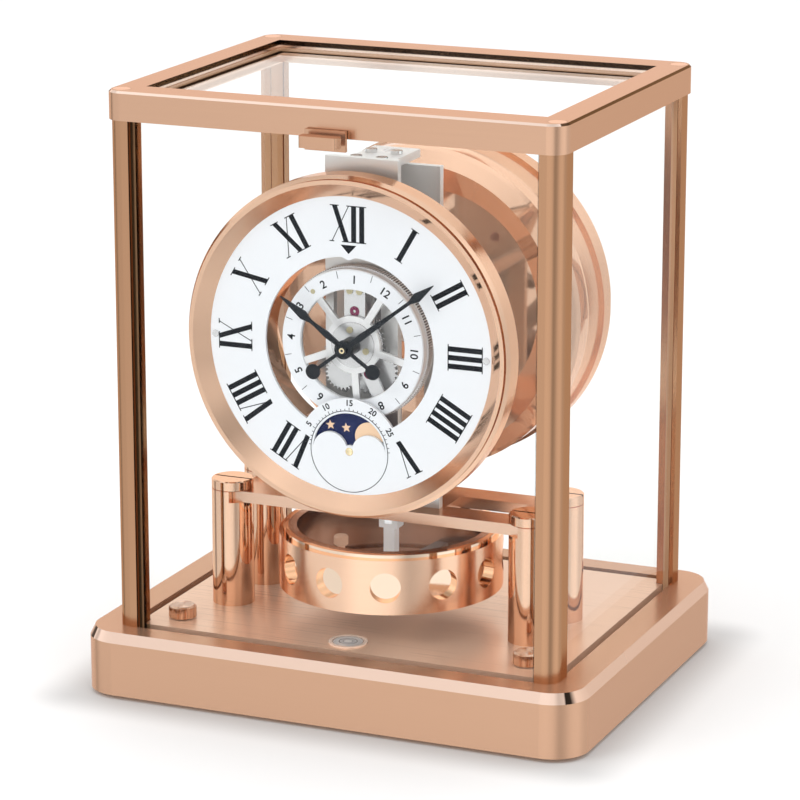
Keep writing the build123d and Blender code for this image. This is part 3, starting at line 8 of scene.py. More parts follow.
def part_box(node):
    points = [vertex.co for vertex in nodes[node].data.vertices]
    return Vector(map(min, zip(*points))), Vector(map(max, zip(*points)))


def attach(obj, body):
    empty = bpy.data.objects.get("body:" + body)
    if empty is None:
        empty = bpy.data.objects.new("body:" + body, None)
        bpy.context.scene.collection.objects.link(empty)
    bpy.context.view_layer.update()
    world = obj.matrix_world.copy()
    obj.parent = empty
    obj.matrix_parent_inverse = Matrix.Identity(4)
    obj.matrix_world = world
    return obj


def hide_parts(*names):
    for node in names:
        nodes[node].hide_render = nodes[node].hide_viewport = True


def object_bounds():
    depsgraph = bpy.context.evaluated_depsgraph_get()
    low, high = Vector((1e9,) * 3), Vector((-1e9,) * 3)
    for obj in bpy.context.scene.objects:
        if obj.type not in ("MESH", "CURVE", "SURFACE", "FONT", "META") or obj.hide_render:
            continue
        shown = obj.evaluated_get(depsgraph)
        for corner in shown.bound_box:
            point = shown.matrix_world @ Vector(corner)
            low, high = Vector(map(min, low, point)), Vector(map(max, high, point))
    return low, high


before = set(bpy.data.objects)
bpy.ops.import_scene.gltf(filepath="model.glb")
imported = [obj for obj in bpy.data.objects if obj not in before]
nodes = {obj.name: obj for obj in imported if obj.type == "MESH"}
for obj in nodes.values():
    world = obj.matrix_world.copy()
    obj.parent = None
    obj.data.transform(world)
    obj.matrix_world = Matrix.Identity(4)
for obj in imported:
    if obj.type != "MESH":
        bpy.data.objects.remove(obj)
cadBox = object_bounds()
mm = 0.001

# places shared by the pieces, in millimetres
clock = {"dialZ": 136.5, "dialFront": -51.4, "moonDrop": 39.0, "monthFront": -48.4, "moonFront": -49.9}

# a Mix node's two inputs and its output, for each kind of value
mixSockets = {"FLOAT": (2, 3, 0), "VECTOR": (4, 5, 1), "RGBA": (6, 7, 2)}


# shader helpers: a value that is a socket is linked, any other value is set

def feed(tree, socket, value):
    if isinstance(value, bpy.types.NodeSocket):
        tree.links.new(value, socket)
    else:
        socket.default_value = value


def addNode(tree, kind, **values):
    node = tree.nodes.new(kind)
    for key, value in values.items():
        setattr(node, key, value)
    return node


def calc(tree, operation, *values, clamp=False):
    node = addNode(tree, "ShaderNodeMath", operation=operation, use_clamp=clamp)
    for socket, value in zip(node.inputs, values):
        feed(tree, socket, value)
    return node.outputs[0]


def vectorCalc(tree, operation, *values):
    node = addNode(tree, "ShaderNodeVectorMath", operation=operation)
    for socket, value in zip(node.inputs, values):
        feed(tree, socket, value)
    return node.outputs["Value" if operation == "LENGTH" else "Vector"]


def scaled(tree, vector, factor):
    node = addNode(tree, "ShaderNodeVectorMath", operation="SCALE")
    feed(tree, node.inputs[0], vector)
    feed(tree, node.inputs["Scale"], factor)
    return node.outputs["Vector"]


def blend(tree, kind, factor, first, second, mode="MIX"):
    node = addNode(tree, "ShaderNodeMix", data_type=kind, blend_type=mode)
    firstInput, secondInput, output = mixSockets[kind]
    feed(tree, node.inputs[0], factor)
    feed(tree, node.inputs[firstInput], first)
    feed(tree, node.inputs[secondInput], second)
    return node.outputs[output]


def mapped(tree, value, low, high, lowResult=0.0, highResult=1.0, curve="LINEAR"):
    node = addNode(tree, "ShaderNodeMapRange", interpolation_type=curve)
    tree.links.new(value, node.inputs["Value"])
    limits = {"From Min": low, "From Max": high, "To Min": lowResult, "To Max": highResult}
    for label, amount in limits.items():
        node.inputs[label].default_value = amount
    return node.outputs["Result"]


def opaque(tint):
    return (*tint, 1.0)


def ramp(tree, factor, stops):
    # a stop is a position and a colour, or a position and a grey value
    node = tree.nodes.new("ShaderNodeValToRGB")
    colours = [(position, opaque(value if isinstance(value, tuple) else (value,) * 3))
               for position, value in stops]
    elements = node.color_ramp.elements
    elements[0].position, elements[0].color = colours[0]
    elements[1].position, elements[1].color = colours[-1]
    for position, colour in colours[1:-1]:
        elements.new(position).color = colour
    tree.links.new(factor, node.inputs["Fac"])
    return node.outputs["Color"]


def noise(tree, vector, scale, detail=2.0):
    node = tree.nodes.new("ShaderNodeTexNoise")
    node.inputs["Scale"].default_value = scale
    node.inputs["Detail"].default_value = detail
    tree.links.new(vector, node.inputs["Vector"])
    return node.outputs["Fac"]


def coordinate(tree, output):
    return tree.nodes.new("ShaderNodeTexCoord").outputs[output]


def part(tree, vector, axis):
    split = tree.nodes.new("ShaderNodeSeparateXYZ")
    tree.links.new(vector, split.inputs[0])
    return split.outputs[axis]


def sizeOf(tree, vector, axis):
    return calc(tree, "ABSOLUTE", part(tree, vector, axis))


def radiusFrom(tree, middle, axes):
    # distance of a point from the line through the middle, along the axis that axes leaves out
    offset = vectorCalc(tree, "SUBTRACT", coordinate(tree, "Object"), middle)
    return vectorCalc(tree, "LENGTH", vectorCalc(tree, "MULTIPLY", offset, axes))


def turnTimes(tree, vector, upAxis, count):
    # the angle of a vector round the axis across X and the up axis, times a count
    angle = calc(tree, "ARCTAN2", part(tree, vector, upAxis), part(tree, vector, "X"))
    return calc(tree, "MULTIPLY", angle, count)


def addRelief(tree, bsdf, height, strength, distance):
    relief = tree.nodes.new("ShaderNodeBump")
    relief.inputs["Strength"].default_value = strength
    relief.inputs["Distance"].default_value = distance
    tree.links.new(height, relief.inputs["Height"])
    tree.links.new(relief.outputs["Normal"], bsdf.inputs["Normal"])


def newMaterial(name):
    mat = bpy.data.materials.new(name)
    mat.use_nodes = True
    mat.node_tree.nodes.clear()
    out = mat.node_tree.nodes.new("ShaderNodeOutputMaterial")
    bsdf = mat.node_tree.nodes.new("ShaderNodeBsdfPrincipled")
    mat.node_tree.links.new(bsdf.outputs["BSDF"], out.inputs["Surface"])
    return mat, bsdf


def nodeOfType(tree, kind):
    return next(node for node in tree.nodes if node.type == kind)


def paintOver(tree, bsdf, mask, colour):
    # lays a colour over the finish where the mask is one
    under = bsdf.inputs["Base Color"].links[0].from_socket
    tree.links.new(blend(tree, "RGBA", mask, under, colour), bsdf.inputs["Base Color"])


def splitSurface(tree, out, factor, first, second):
    mix = tree.nodes.new("ShaderNodeMixShader")
    tree.links.new(factor, mix.inputs[0])
    tree.links.new(first.outputs[0], mix.inputs[1])
    tree.links.new(second.outputs[0], mix.inputs[2])
    tree.links.new(mix.outputs[0], out.inputs["Surface"])


def seenInMetal(tree):
    # one for rays that a polished face has mirrored
    path = tree.nodes.new("ShaderNodeLightPath")
    return calc(tree, "GREATER_THAN", path.outputs["Glossy Depth"], 0.5)


# brushed metal: fine streaks over slow clouds, with polished chamfers that stand out from the brushed faces
# by painted highlights and painted dark reflections

grainNoise = {"detail": 4.0, "cloudScale": 18.0, "cloudShare": 0.35, "middle": 0.67}
metalBase = {"specularBase": 0.3, "specularShare": 0.7, "relief": 0.2 * mm, "slopeMiddle": 0.55,
             "slopeSpread": 0.35, "faceLimit": 0.7}


def makeBrushedGroup():
    # the scale vector squeezes the noise across the brushing direction
    group = bpy.data.node_groups.new("brushedGrain", "ShaderNodeTree")
    for label, kind in (("Scale", "Vector"), ("Tint", "Color"), ("Depth", "Float"), ("Rough", "Float"),
                        ("Spread", "Float")):
        group.interface.new_socket(label, in_out="INPUT", socket_type="NodeSocket" + kind)
    for label, kind in (("Color", "Color"), ("Roughness", "Float"), ("Height", "Float")):
        group.interface.new_socket(label, in_out="OUTPUT", socket_type="NodeSocket" + kind)
    start = group.nodes.new("NodeGroupInput").outputs
    end = group.nodes.new("NodeGroupOutput").inputs
    place = coordinate(group, "Object")
    grain = noise(group, vectorCalc(group, "MULTIPLY", place, start["Scale"]), 1.0, grainNoise["detail"])
    cloud = noise(group, place, grainNoise["cloudScale"])
    mixed = calc(group, "MULTIPLY_ADD", cloud, grainNoise["cloudShare"], grain)
    centred = calc(group, "SUBTRACT", mixed, grainNoise["middle"])
    shade = calc(group, "MULTIPLY_ADD", centred, start["Depth"], 1.0)
    rough = calc(group, "MULTIPLY_ADD", centred, start["Spread"], start["Rough"], clamp=True)
    group.links.new(scaled(group, start["Tint"], shade), end["Color"])
    group.links.new(rough, end["Roughness"])
    group.links.new(grain, end["Height"])
    return group


brushedGroup = makeBrushedGroup()


def turnOnSides(tree, scale, sideAt):
    # picks the brushing's stretch: swapped on faces that look sideways and on the tops of the side rails
    normal = coordinate(tree, "Normal")
    sideways = calc(tree, "GREATER_THAN", sizeOf(tree, normal, "X"), metalBase["faceLimit"])
    upward = calc(tree, "GREATER_THAN", sizeOf(tree, normal, "Z"), metalBase["faceLimit"])
    atSide = calc(tree, "GREATER_THAN", sizeOf(tree, coordinate(tree, "Object"), "X"), sideAt)
    swapped = calc(tree, "MULTIPLY_ADD", upward, atSide, sideways, clamp=True)
    return blend(tree, "VECTOR", swapped, scale, (scale[1], scale[0], scale[2]))


def metal(name, tint, scale, rough, depth, spread, bump, metallic=1.0, paintedGlow=0.0, edge=None):
    # edge gives the roughness of sloping chamfers, and the painted highlights and painted reflections laid
    # on them from the front round to the sides
    mat, bsdf = newMaterial(name)
    tree = mat.node_tree
    grain = addNode(tree, "ShaderNodeGroup", node_tree=brushedGroup)
    settings = {"Scale": scale, "Tint": opaque(tint), "Depth": depth, "Rough": rough, "Spread": spread}
    for label, value in settings.items():
        grain.inputs[label].default_value = value
    tree.links.new(grain.outputs["Color"], bsdf.inputs["Base Color"])
    tree.links.new(grain.outputs["Roughness"], bsdf.inputs["Roughness"])
    bsdf.inputs["Metallic"].default_value = metallic
    # painted light: an emission in the metal's own tint makes it shine though it is no lamp
    bsdf.inputs["Emission Color"].default_value = opaque(tint)
    bsdf.inputs["Emission Strength"].default_value = paintedGlow
    sheen = [metalBase["specularBase"] + metalBase["specularShare"] * value for value in tint]
    bsdf.inputs["Specular Tint"].default_value = opaque(sheen)
    addRelief(tree, bsdf, grain.outputs["Height"], bump, metalBase["relief"])
    if edge is None:
        return mat
    tree.links.new(turnOnSides(tree, scale, edge["sideAt"]), grain.inputs["Scale"])
    normal = coordinate(tree, "Normal")
    onSlope = calc(tree, "COMPARE", sizeOf(tree, normal, "Z"), metalBase["slopeMiddle"],
                   metalBase["slopeSpread"])
    polished = blend(tree, "FLOAT", onSlope, grain.outputs["Roughness"], edge["rough"])
    tree.links.new(polished, bsdf.inputs["Roughness"])
    # painted light: the chamfers' colour is laid over the metal's by the way they face
    stops = [(position, edge[colour]) for position, colour in edge["round"]]
    paintOver(tree, bsdf, onSlope, ramp(tree, sizeOf(tree, normal, "X"), stops))
    return mat


# lacquer, enamel, print and stone: an even colour with a faint speckle

lacquerNoise = {"scale": 900.0, "detail": 3.0, "bump": 0.04, "relief": 0.1 * mm}


def lacquer(name, tint, rough, speckle, coat=0.0, shine=0.5):
    mat, bsdf = newMaterial(name)
    tree = mat.node_tree
    specks = noise(tree, coordinate(tree, "Object"), lacquerNoise["scale"], lacquerNoise["detail"])
    dark = tuple(max(0.0, value * (1 - speckle)) for value in tint)
    pale = tuple(min(1.0, value * (1 + speckle)) for value in tint)
    tree.links.new(ramp(tree, specks, [(0.0, dark), (1.0, pale)]), bsdf.inputs["Base Color"])
    bsdf.inputs["Roughness"].default_value = rough
    bsdf.inputs["Coat Weight"].default_value = coat
    bsdf.inputs["Specular IOR Level"].default_value = shine
    addRelief(tree, bsdf, specks, lacquerNoise["bump"], lacquerNoise["relief"])
    return mat


# painted reflection: a pane's cut edge is painted the colour of the metal that holds it and shines by an
# emission, painted light, and the front pane's face carries a painted reflection of the left post, near
# black then olive by its left end, and is near black past its right end
panes = {"tint": (0.985, 0.995, 0.99), "edge": (0.42, 0.24, 0.14), "paintedGlow": 0.35,
         "dark": (0.010, 0.009, 0.006), "olive": (0.40, 0.38, 0.29), "index": 1.10, "haze": 0.004,
         "hazeScale": 60.0, "half": 0.08, "faceLimit": 0.5,
         "band": ((-0.0773, "dark"), (-0.0771, "olive"), (-0.0762, "olive"), (-0.0759, "tint"),
                  (0.0776, "tint"), (0.0778, "dark"))}


def clearGlass(name, faceAxis, banded=False):
    mat, bsdf = newMaterial(name)
    tree = mat.node_tree
    place = coordinate(tree, "Object")
    facing = sizeOf(tree, coordinate(tree, "Normal"), faceAxis)
    onFace = calc(tree, "GREATER_THAN", facing, panes["faceLimit"])
    face = opaque(panes["tint"])
    # the front pane's painted reflection of the left post
    if banded:
        share = calc(tree, "MULTIPLY_ADD", part(tree, place, "X"), 0.5 / panes["half"], 0.5)
        stops = [(x / panes["half"] / 2 + 0.5, panes[colour]) for x, colour in panes["band"]]
        face = ramp(tree, share, stops)
    # painted reflection: a pane's cut edges take the colour of the metal that holds them
    colour = blend(tree, "RGBA", onFace, opaque(panes["edge"]), face)
    tree.links.new(colour, bsdf.inputs["Base Color"])
    tree.links.new(onFace, bsdf.inputs["Transmission Weight"])
    # painted light: the cut edges shine by an emission though they are no lamp
    paintedEdgeGlow = calc(tree, "MULTIPLY_ADD", onFace, -panes["paintedGlow"], panes["paintedGlow"])
    tree.links.new(paintedEdgeGlow, bsdf.inputs["Emission Strength"])
    bsdf.inputs["Emission Color"].default_value = opaque(panes["edge"])
    bsdf.inputs["IOR"].default_value = panes["index"]
    haze = calc(tree, "MULTIPLY", noise(tree, place, panes["hazeScale"]), panes["haze"])
    tree.links.new(haze, bsdf.inputs["Roughness"])
    # clear to shadow rays, so light reaches what stands behind the pane
    shadowRay = tree.nodes.new("ShaderNodeLightPath").outputs["Is Shadow Ray"]
    clear = tree.nodes.new("ShaderNodeBsdfTransparent")
    splitSurface(tree, nodeOfType(tree, "OUTPUT_MATERIAL"), shadowRay, bsdf, clear)
    return mat


tints = {
    "rose": (0.67, 0.415, 0.28),
    # painted shade: a darker copy of the rose metal for the plinth and the door knob
    "rosePlinthPaintedShade": (0.60, 0.36, 0.235),
    # painted light: a lighter copy of the rose metal for the base plate
    "rosePlatePaintedLight": (0.78, 0.54, 0.40),
    # painted shade: a darker copy of the rose metal for the posts
    "rosePostPaintedShade": (0.51, 0.285, 0.165),
    "rosePolished": (0.80, 0.52, 0.37),
    "rosePlatform": (0.76, 0.51, 0.38),
    # painted light: a lighter copy of the polished rose metal for the pendulum ring
    "roseRingPaintedLight": (0.94, 0.61, 0.435),
    # painted shade on the ring's inner wall, and next a painted highlight on its holes' walls
    "roseInsideShade": (0.44, 0.325, 0.28),
    "roseHoleHighlight": (0.94, 0.72, 0.56),
    # painted shade at the top of the frame's opening
    "lip": (0.05, 0.03, 0.02),
    "peach": (0.92, 0.74, 0.63),
    "plates": (0.72, 0.71, 0.70),
    "silver": (0.66, 0.66, 0.67),
    "silverBright": (0.80, 0.80, 0.81),
    "stem": (0.94, 0.95, 0.96),
    "steel": (0.78, 0.79, 0.80),
    "gilt": (0.88, 0.74, 0.48),
    "brass": (0.50, 0.45, 0.30),
    # painted shade in the gaps between the month wheel's teeth
    "toothGapShade": (0.03, 0.025, 0.02),
}
# painted light on the chamfers, by the way they face, from the front, at 0, to the sides, at 1: a pale
# painted highlight in front, a near-black painted reflection at the corners, and on the sides a painted
# highlight paler than the metal
chamferPaintedLight = {"rough": 0.12, "tint": (0.86, 0.635, 0.515), "corner": (0.02, 0.012, 0.008),
           "side": (0.72, 0.49, 0.37), "sideAt": 0.0772,
           "round": ((0.0, "tint"), (0.55, "tint"), (0.58, "corner"), (0.67, "corner"), (0.76, "side"),
                     (1.0, "side"))}
# painted light on the top frame's chamfers: a pale painted highlight in front and a near-black painted
# reflection on the sides
railEdgePaintedLight = {"rough": 0.12, "tint": (0.90, 0.70, 0.59), "side": (0.10, 0.055, 0.03), "sideAt": 0.0772,
            "round": ((0.0, "tint"), (0.5, "tint"), (0.53, "side"), (1.0, "side"))}
# how closely the grain is packed along each axis, per metre
grains = {"alongX": (16.0, 3200.0, 3200.0), "plate": (14.0, 3600.0, 3600.0),
          "alongZ": (2600.0, 2600.0, 30.0), "platesUp": (2600.0, 2600.0, 60.0),
          "roundRing": (60.0, 60.0, 3200.0), "turned": (90.0, 2600.0, 90.0), "polished": (120.0,) * 3,
          "bezel": (160.0,) * 3, "steel": (300.0,) * 3, "fine": (500.0,) * 3, "small": (600.0,) * 3}

roseAlong = metal("roseBrushedAlong", tints["rosePlinthPaintedShade"], grains["alongX"], rough=0.26, depth=0.04,
                  spread=0.04, bump=0.001, metallic=0.7, edge=chamferPaintedLight)
roseFrame = metal("roseTopFrame", tints["rose"], grains["alongX"], rough=0.22, depth=0.05, spread=0.05,
                  bump=0.003, edge=railEdgePaintedLight)
rosePlatePaintedLight = metal("roseBasePlate", tints["rosePlatePaintedLight"], grains["plate"], rough=0.28, depth=0.07, spread=0.04,
                  bump=0.002, metallic=0.5)
roseUpright = metal("roseBrushedUpright", tints["rosePostPaintedShade"], grains["alongZ"], rough=0.22, depth=0.06,
                    spread=0.04, bump=0.008)
rosePlatform = metal("rosePlatform", tints["rosePlatform"], grains["alongX"], rough=0.26, depth=0.06,
                     spread=0.05, bump=0.006)
roseRingPaintedLight = metal("roseBrushedRing", tints["roseRingPaintedLight"], grains["roundRing"], rough=0.20, depth=0.06,
                 spread=0.06, bump=0.004)
rosePolished = metal("rosePolished", tints["rosePolished"], grains["polished"], rough=0.08, depth=0.04,
                     spread=0.04, bump=0.0)
roseSatin = metal("roseSatin", tints["rosePlinthPaintedShade"], grains["alongX"], rough=0.22, depth=0.06, spread=0.05,
                  bump=0.006, metallic=0.8)
# painted light: the trim nuts shine by an emission though they are no lamp
roseNutPaintedLight = metal("roseNutPaintedLight", tints["rosePolished"], grains["alongZ"], rough=0.18, depth=0.06, spread=0.05,
                bump=0.004, metallic=0.35, paintedGlow=0.25)
roseBezel = metal("roseBezel", tints["rosePolished"], grains["bezel"], rough=0.14, depth=0.05, spread=0.05,
                  bump=0.0)
roseDrum = metal("roseDrum", tints["rosePolished"], grains["turned"], rough=0.17, depth=0.06, spread=0.06,
                 bump=0.01)
roseDish = metal("roseDish", tints["rosePolished"], grains["turned"], rough=0.05, depth=0.06, spread=0.04,
                 bump=0.0, metallic=0.7)
silverUpright = metal("silverUpright", tints["plates"], grains["platesUp"], rough=0.30, depth=0.05,
                      spread=0.04, bump=0.002, metallic=0.6)
monthSilver = metal("monthSilver", tints["silverBright"], grains["fine"], rough=0.30, depth=0.05,
                    spread=0.06, bump=0.004, metallic=0.5)
silverFine = metal("silverFine", tints["silver"], grains["fine"], rough=0.24, depth=0.06, spread=0.1,
                   bump=0.01, metallic=0.65)
# painted light: the pendulum stem is near white, with little metal and an emission, so it shows bright in
# the shade under the dial
stemPaintedLight = metal("stemPaintedLight", tints["stem"], grains["alongZ"], rough=0.16, depth=0.06, spread=0.05,
                   bump=0.004, metallic=0.12, paintedGlow=0.22)
steelPolished = metal("steelPolished", tints["steel"], grains["steel"], rough=0.10, depth=0.05, spread=0.05,
                      bump=0.0)
# painted light: the level's cup shines by an emission though it is no lamp
cupPaintedLight = metal("cupPaintedLight", tints["peach"], grains["steel"], rough=0.10, depth=0.05, spread=0.05,
                  bump=0.0, metallic=0.6, paintedGlow=0.12)
gilt = metal("giltRing", tints["gilt"], grains["small"], rough=0.16, depth=0.06, spread=0.05, bump=0.0)
brass = metal("brassScrew", tints["brass"], grains["small"], rough=0.34, depth=0.08, spread=0.05, bump=0.0,
              metallic=0.7)
dialWhite = lacquer("dialWhite", (0.83, 0.85, 0.89), rough=0.35, speckle=0.01)
slate = lacquer("slateLacquer", (0.014, 0.017, 0.022), rough=0.35, speckle=0.15, shine=0.25)
printBlack = lacquer("printBlack", (0.012, 0.014, 0.018), rough=0.6, speckle=0.2, shine=0.15)
moonBlue = lacquer("moonBlue", (0.012, 0.020, 0.085), rough=0.4, speckle=0.1, shine=0.2)
moonPeach = lacquer("moonPeach", (0.86, 0.60, 0.40), rough=0.35, speckle=0.03)
ruby = lacquer("rubyJewel", (0.17, 0.010, 0.06), rough=0.10, speckle=0.2, coat=1.0, shine=0.3)
rubberFeet = lacquer("rubberFeet", (0.02, 0.02, 0.02), rough=0.7, speckle=0.3)
frontPane = clearGlass("frontPane", "Y", banded=True)
rearPane = clearGlass("rearPane", "Y")
sidePane = clearGlass("sidePane", "X")
topPane = clearGlass("topPane", "Z")

# bubble level: fluid under a domed window, a pale bubble at the centre and a fine ring round it
# the rings are grey values by the distance from the middle in centimetres
level = {"middle": (0.0, -0.053, 0.0), "perMetre": 100.0, "metallic": 0.35, "rough": 0.18,
         "rings": ((0.0, 0.95), (0.15, 0.9), (0.17, 0.25), (0.19, 0.62), (0.31, 0.70), (0.32, 0.15),
                   (0.345, 0.15), (0.355, 0.80), (0.53, 0.70), (0.56, 0.12), (1.0, 0.12))}


def makeLevelFluid():
    mat, bsdf = newMaterial("levelFluid")
    tree = mat.node_tree
    reach = radiusFrom(tree, level["middle"], (level["perMetre"], level["perMetre"], 0.0))
    tree.links.new(ramp(tree, reach, level["rings"]), bsdf.inputs["Base Color"])
    bsdf.inputs["Metallic"].default_value = level["metallic"]
    bsdf.inputs["Roughness"].default_value = level["rough"]
    bsdf.inputs["Coat Weight"].default_value = 1.0
    return mat


# levelling screws: the right one stands at the middle, and the left one at its mirror image
knurl = {"middle": (0.069, 0.050, 0.0), "flutes": 36.0, "bump": 0.7, "relief": 0.2 * mm, "rough": 0.16}


def makeKnurl():
    # fine upright knurling
    mat, bsdf = newMaterial("roseKnurl")
    tree = mat.node_tree
    mirrored = vectorCalc(tree, "ABSOLUTE", coordinate(tree, "Object"))
    offset = vectorCalc(tree, "SUBTRACT", mirrored, knurl["middle"])
    wave = calc(tree, "SINE", turnTimes(tree, offset, "Y", knurl["flutes"]))
    addRelief(tree, bsdf, wave, knurl["bump"], knurl["relief"])
    bsdf.inputs["Base Color"].default_value = opaque(tints["rosePolished"])
    bsdf.inputs["Metallic"].default_value = 1.0
    bsdf.inputs["Roughness"].default_value = knurl["rough"]
    return mat


monthTeeth = {"count": 180.0, "front": -44.5, "share": 0.45}


def addToothShade(mat):
    # painted shade: dark gaps between the fine teeth at the back of the month wheel's rim
    tree = mat.node_tree
    middle = (0.0, monthTeeth["front"] * mm, clock["dialZ"] * mm)
    offset = vectorCalc(tree, "SUBTRACT", coordinate(tree, "Object"), middle)
    wave = calc(tree, "COSINE", turnTimes(tree, offset, "Z", monthTeeth["count"]))
    behind = calc(tree, "GREATER_THAN", part(tree, offset, "Y"), 0.0)
    depth = calc(tree, "MULTIPLY_ADD", wave, -monthTeeth["share"], monthTeeth["share"], clamp=True)
    share = calc(tree, "MULTIPLY", depth, behind)
    paintOver(tree, nodeOfType(tree, "BSDF_PRINCIPLED"), share, opaque(tints["toothGapShade"]))


# the top frame's opening: half its size, and the painted light on its inner wall by the share of its depth
opening = {"halfX": 0.0775, "halfY": 0.0570, "depth": 10 * mm, "upLimit": 0.5,
           "steps": ((0.0, tints["lip"]), (0.18, tints["lip"]), (0.21, tints["peach"]),
                     (1.0, tints["peach"]))}


def addOpeningShade(mat, top):
    # painted light inside the opening: the wall is near black near its top, painted shade, and a pale peach
    # below, lighter than the frame's metal, painted light
    tree = mat.node_tree
    place = coordinate(tree, "Object")
    inX = calc(tree, "LESS_THAN", sizeOf(tree, place, "X"), opening["halfX"])
    inY = calc(tree, "LESS_THAN", sizeOf(tree, place, "Y"), opening["halfY"])
    upright = calc(tree, "LESS_THAN", sizeOf(tree, coordinate(tree, "Normal"), "Z"), opening["upLimit"])
    inside = calc(tree, "MULTIPLY", calc(tree, "MULTIPLY", inX, inY), upright)
    drop = mapped(tree, part(tree, place, "Z"), top, top - opening["depth"])
    paintOver(tree, nodeOfType(tree, "BSDF_PRINCIPLED"), inside, ramp(tree, drop, opening["steps"]))


# pendulum ring: a painted highlight on the holes' walls and painted shade on the inner wall, by their
# distance from the pendulum's line
ringCore = {"middle": (0.0, -0.013, 0.0), "holeReach": 0.0417, "holeRough": 0.05, "insideReach": 0.0384,
            "insideRough": 0.22}


def addCore(mat, reachLimit, rough, tint):
    # faces nearer the pendulum's line than the limit get a roughness of their own and a painted colour,
    # painted light
    tree = mat.node_tree
    bsdf = nodeOfType(tree, "BSDF_PRINCIPLED")
    near = calc(tree, "LESS_THAN", radiusFrom(tree, ringCore["middle"], (1.0, 1.0, 0.0)), reachLimit)
    under = bsdf.inputs["Roughness"].links[0].from_socket
    tree.links.new(blend(tree, "FLOAT", near, under, rough), bsdf.inputs["Roughness"])
    paintOver(tree, bsdf, near, opaque(tint))


lathe = {"fineness": 1400.0, "detail": 3.0, "drumDepth": 0.22, "dishDepth": 0.10}


def addLatheMarks(mat, depth):
    # fine rings round the drum's axis, left by turning
    tree = mat.node_tree
    bsdf = nodeOfType(tree, "BSDF_PRINCIPLED")
    colour = bsdf.inputs["Base Color"].links[0].from_socket
    rings = addNode(tree, "ShaderNodeTexNoise", noise_dimensions="1D")
    rings.inputs["Scale"].default_value = lathe["fineness"]
    rings.inputs["Detail"].default_value = lathe["detail"]
    tree.links.new(radiusFrom(tree, (0.0, 0.0, clock["dialZ"] * mm), (1.0, 0.0, 1.0)), rings.inputs["W"])
    shade = calc(tree, "MULTIPLY_ADD", rings.outputs["Fac"], depth, 1.0 - depth / 2)
    tree.links.new(scaled(tree, colour, shade), bsdf.inputs["Base Color"])


addToothShade(monthSilver)
addLatheMarks(roseDrum, lathe["drumDepth"])
addLatheMarks(roseDish, lathe["dishDepth"])
addCore(roseRingPaintedLight, ringCore["holeReach"], ringCore["holeRough"], tints["roseHoleHighlight"])
addCore(roseRingPaintedLight, ringCore["insideReach"], ringCore["insideRough"], tints["roseInsideShade"])
addOpeningShade(roseFrame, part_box("top_frame")[1][2])
levelFluid = makeLevelFluid()
roseKnurl = makeKnurl()
print("materials made")

# one finish for each CAD node
nodeFinish = {
    "plinth": roseAlong, "base_plate": rosePlatePaintedLight, "top_frame": roseFrame, "corner_posts": roseUpright,
    "platform": rosePlatform, "door_knob": roseSatin, "left_level_screw": roseKnurl,
    "right_level_screw": roseKnurl, "level_cup": cupPaintedLight, "pillars": rosePolished,
    "pillar_caps": rosePolished, "bezel": roseBezel, "dial_holder": rosePolished, "pendulum_ring": roseRingPaintedLight,
    "trim_weights": rosePolished, "drum_dish": roseDish, "drum_shell": roseDrum,
    "frame_screws": rosePolished, "front_plate": silverUpright, "rear_plate": silverUpright,
    "plate_pillars": silverFine, "centre_bridge": silverFine, "calendar_gear": silverFine,
    "month_wheel": monthSilver, "hour_wheel": silverFine, "minute_wheel": silverFine,
    "centre_wheel": silverFine, "third_wheel": silverFine, "barrel": silverFine,
    "suspension_bracket": silverUpright, "suspension_clamp": silverFine, "pendulum_hub": silverFine,
    "pendulum_stem": stemPaintedLight, "dial_posts": silverFine, "drum_posts": silverFine, "bellows": silverFine,
    "bellows_cap": silverFine, "escape_wheel": steelPolished, "pallet_lever": steelPolished,
    "mainspring": steelPolished, "winding_arbor": steelPolished, "torsion_wire": steelPolished,
    "return_spring": steelPolished, "winding_chain": steelPolished, "bracket_screws": steelPolished,
    "bridge_screws": brass, "dial_screws": silverFine, "dial_ring": dialWhite, "month_ring": dialWhite,
    "minute_hand": slate, "hour_hand": slate, "moon_disc": moonBlue, "top_glass": topPane,
    "front_glass": frontPane, "left_glass": sidePane, "right_glass": sidePane, "rear_glass": rearPane,
    "level_vial": levelFluid, "jewels": ruby, "rear_feet": rubberFeet,
}
for nodeName, mat in nodeFinish.items():
    nodes[nodeName].data.materials.clear()
    nodes[nodeName].data.materials.append(mat)
print("finishes on", len(nodeFinish), "of", len(nodes), "nodes")


# mesh helpers: flat prints are drawn in dial millimetres, x right and y up, then stood on the dial's face

def dialMatrix(front, centre=(0.0, 0.0)):
    stand = Matrix(((1, 0, 0, 0), (0, 0, -1, 0), (0, 1, 0, 0), (0, 0, 0, 1)))
    move = Matrix.Translation(Vector((centre[0], front, clock["dialZ"] + centre[1])))
    return Matrix.Scale(mm, 4) @ move @ stand


def polar(reach, degrees):
    turn = math.radians(degrees)
    return (reach * math.cos(turn), reach * math.sin(turn))


def raiseFace(bm, face, height):
    grown = bmesh.ops.extrude_face_region(bm, geom=[face])
    top = [item for item in grown["geom"] if isinstance(item, bmesh.types.BMVert)]
    bmesh.ops.translate(bm, verts=top, vec=(0.0, 0.0, height))


def addOutline(bm, points, height):
    verts = [bm.verts.new((x, y, 0.0)) for x, y in points]
    raiseFace(bm, bm.faces.new(verts), height)


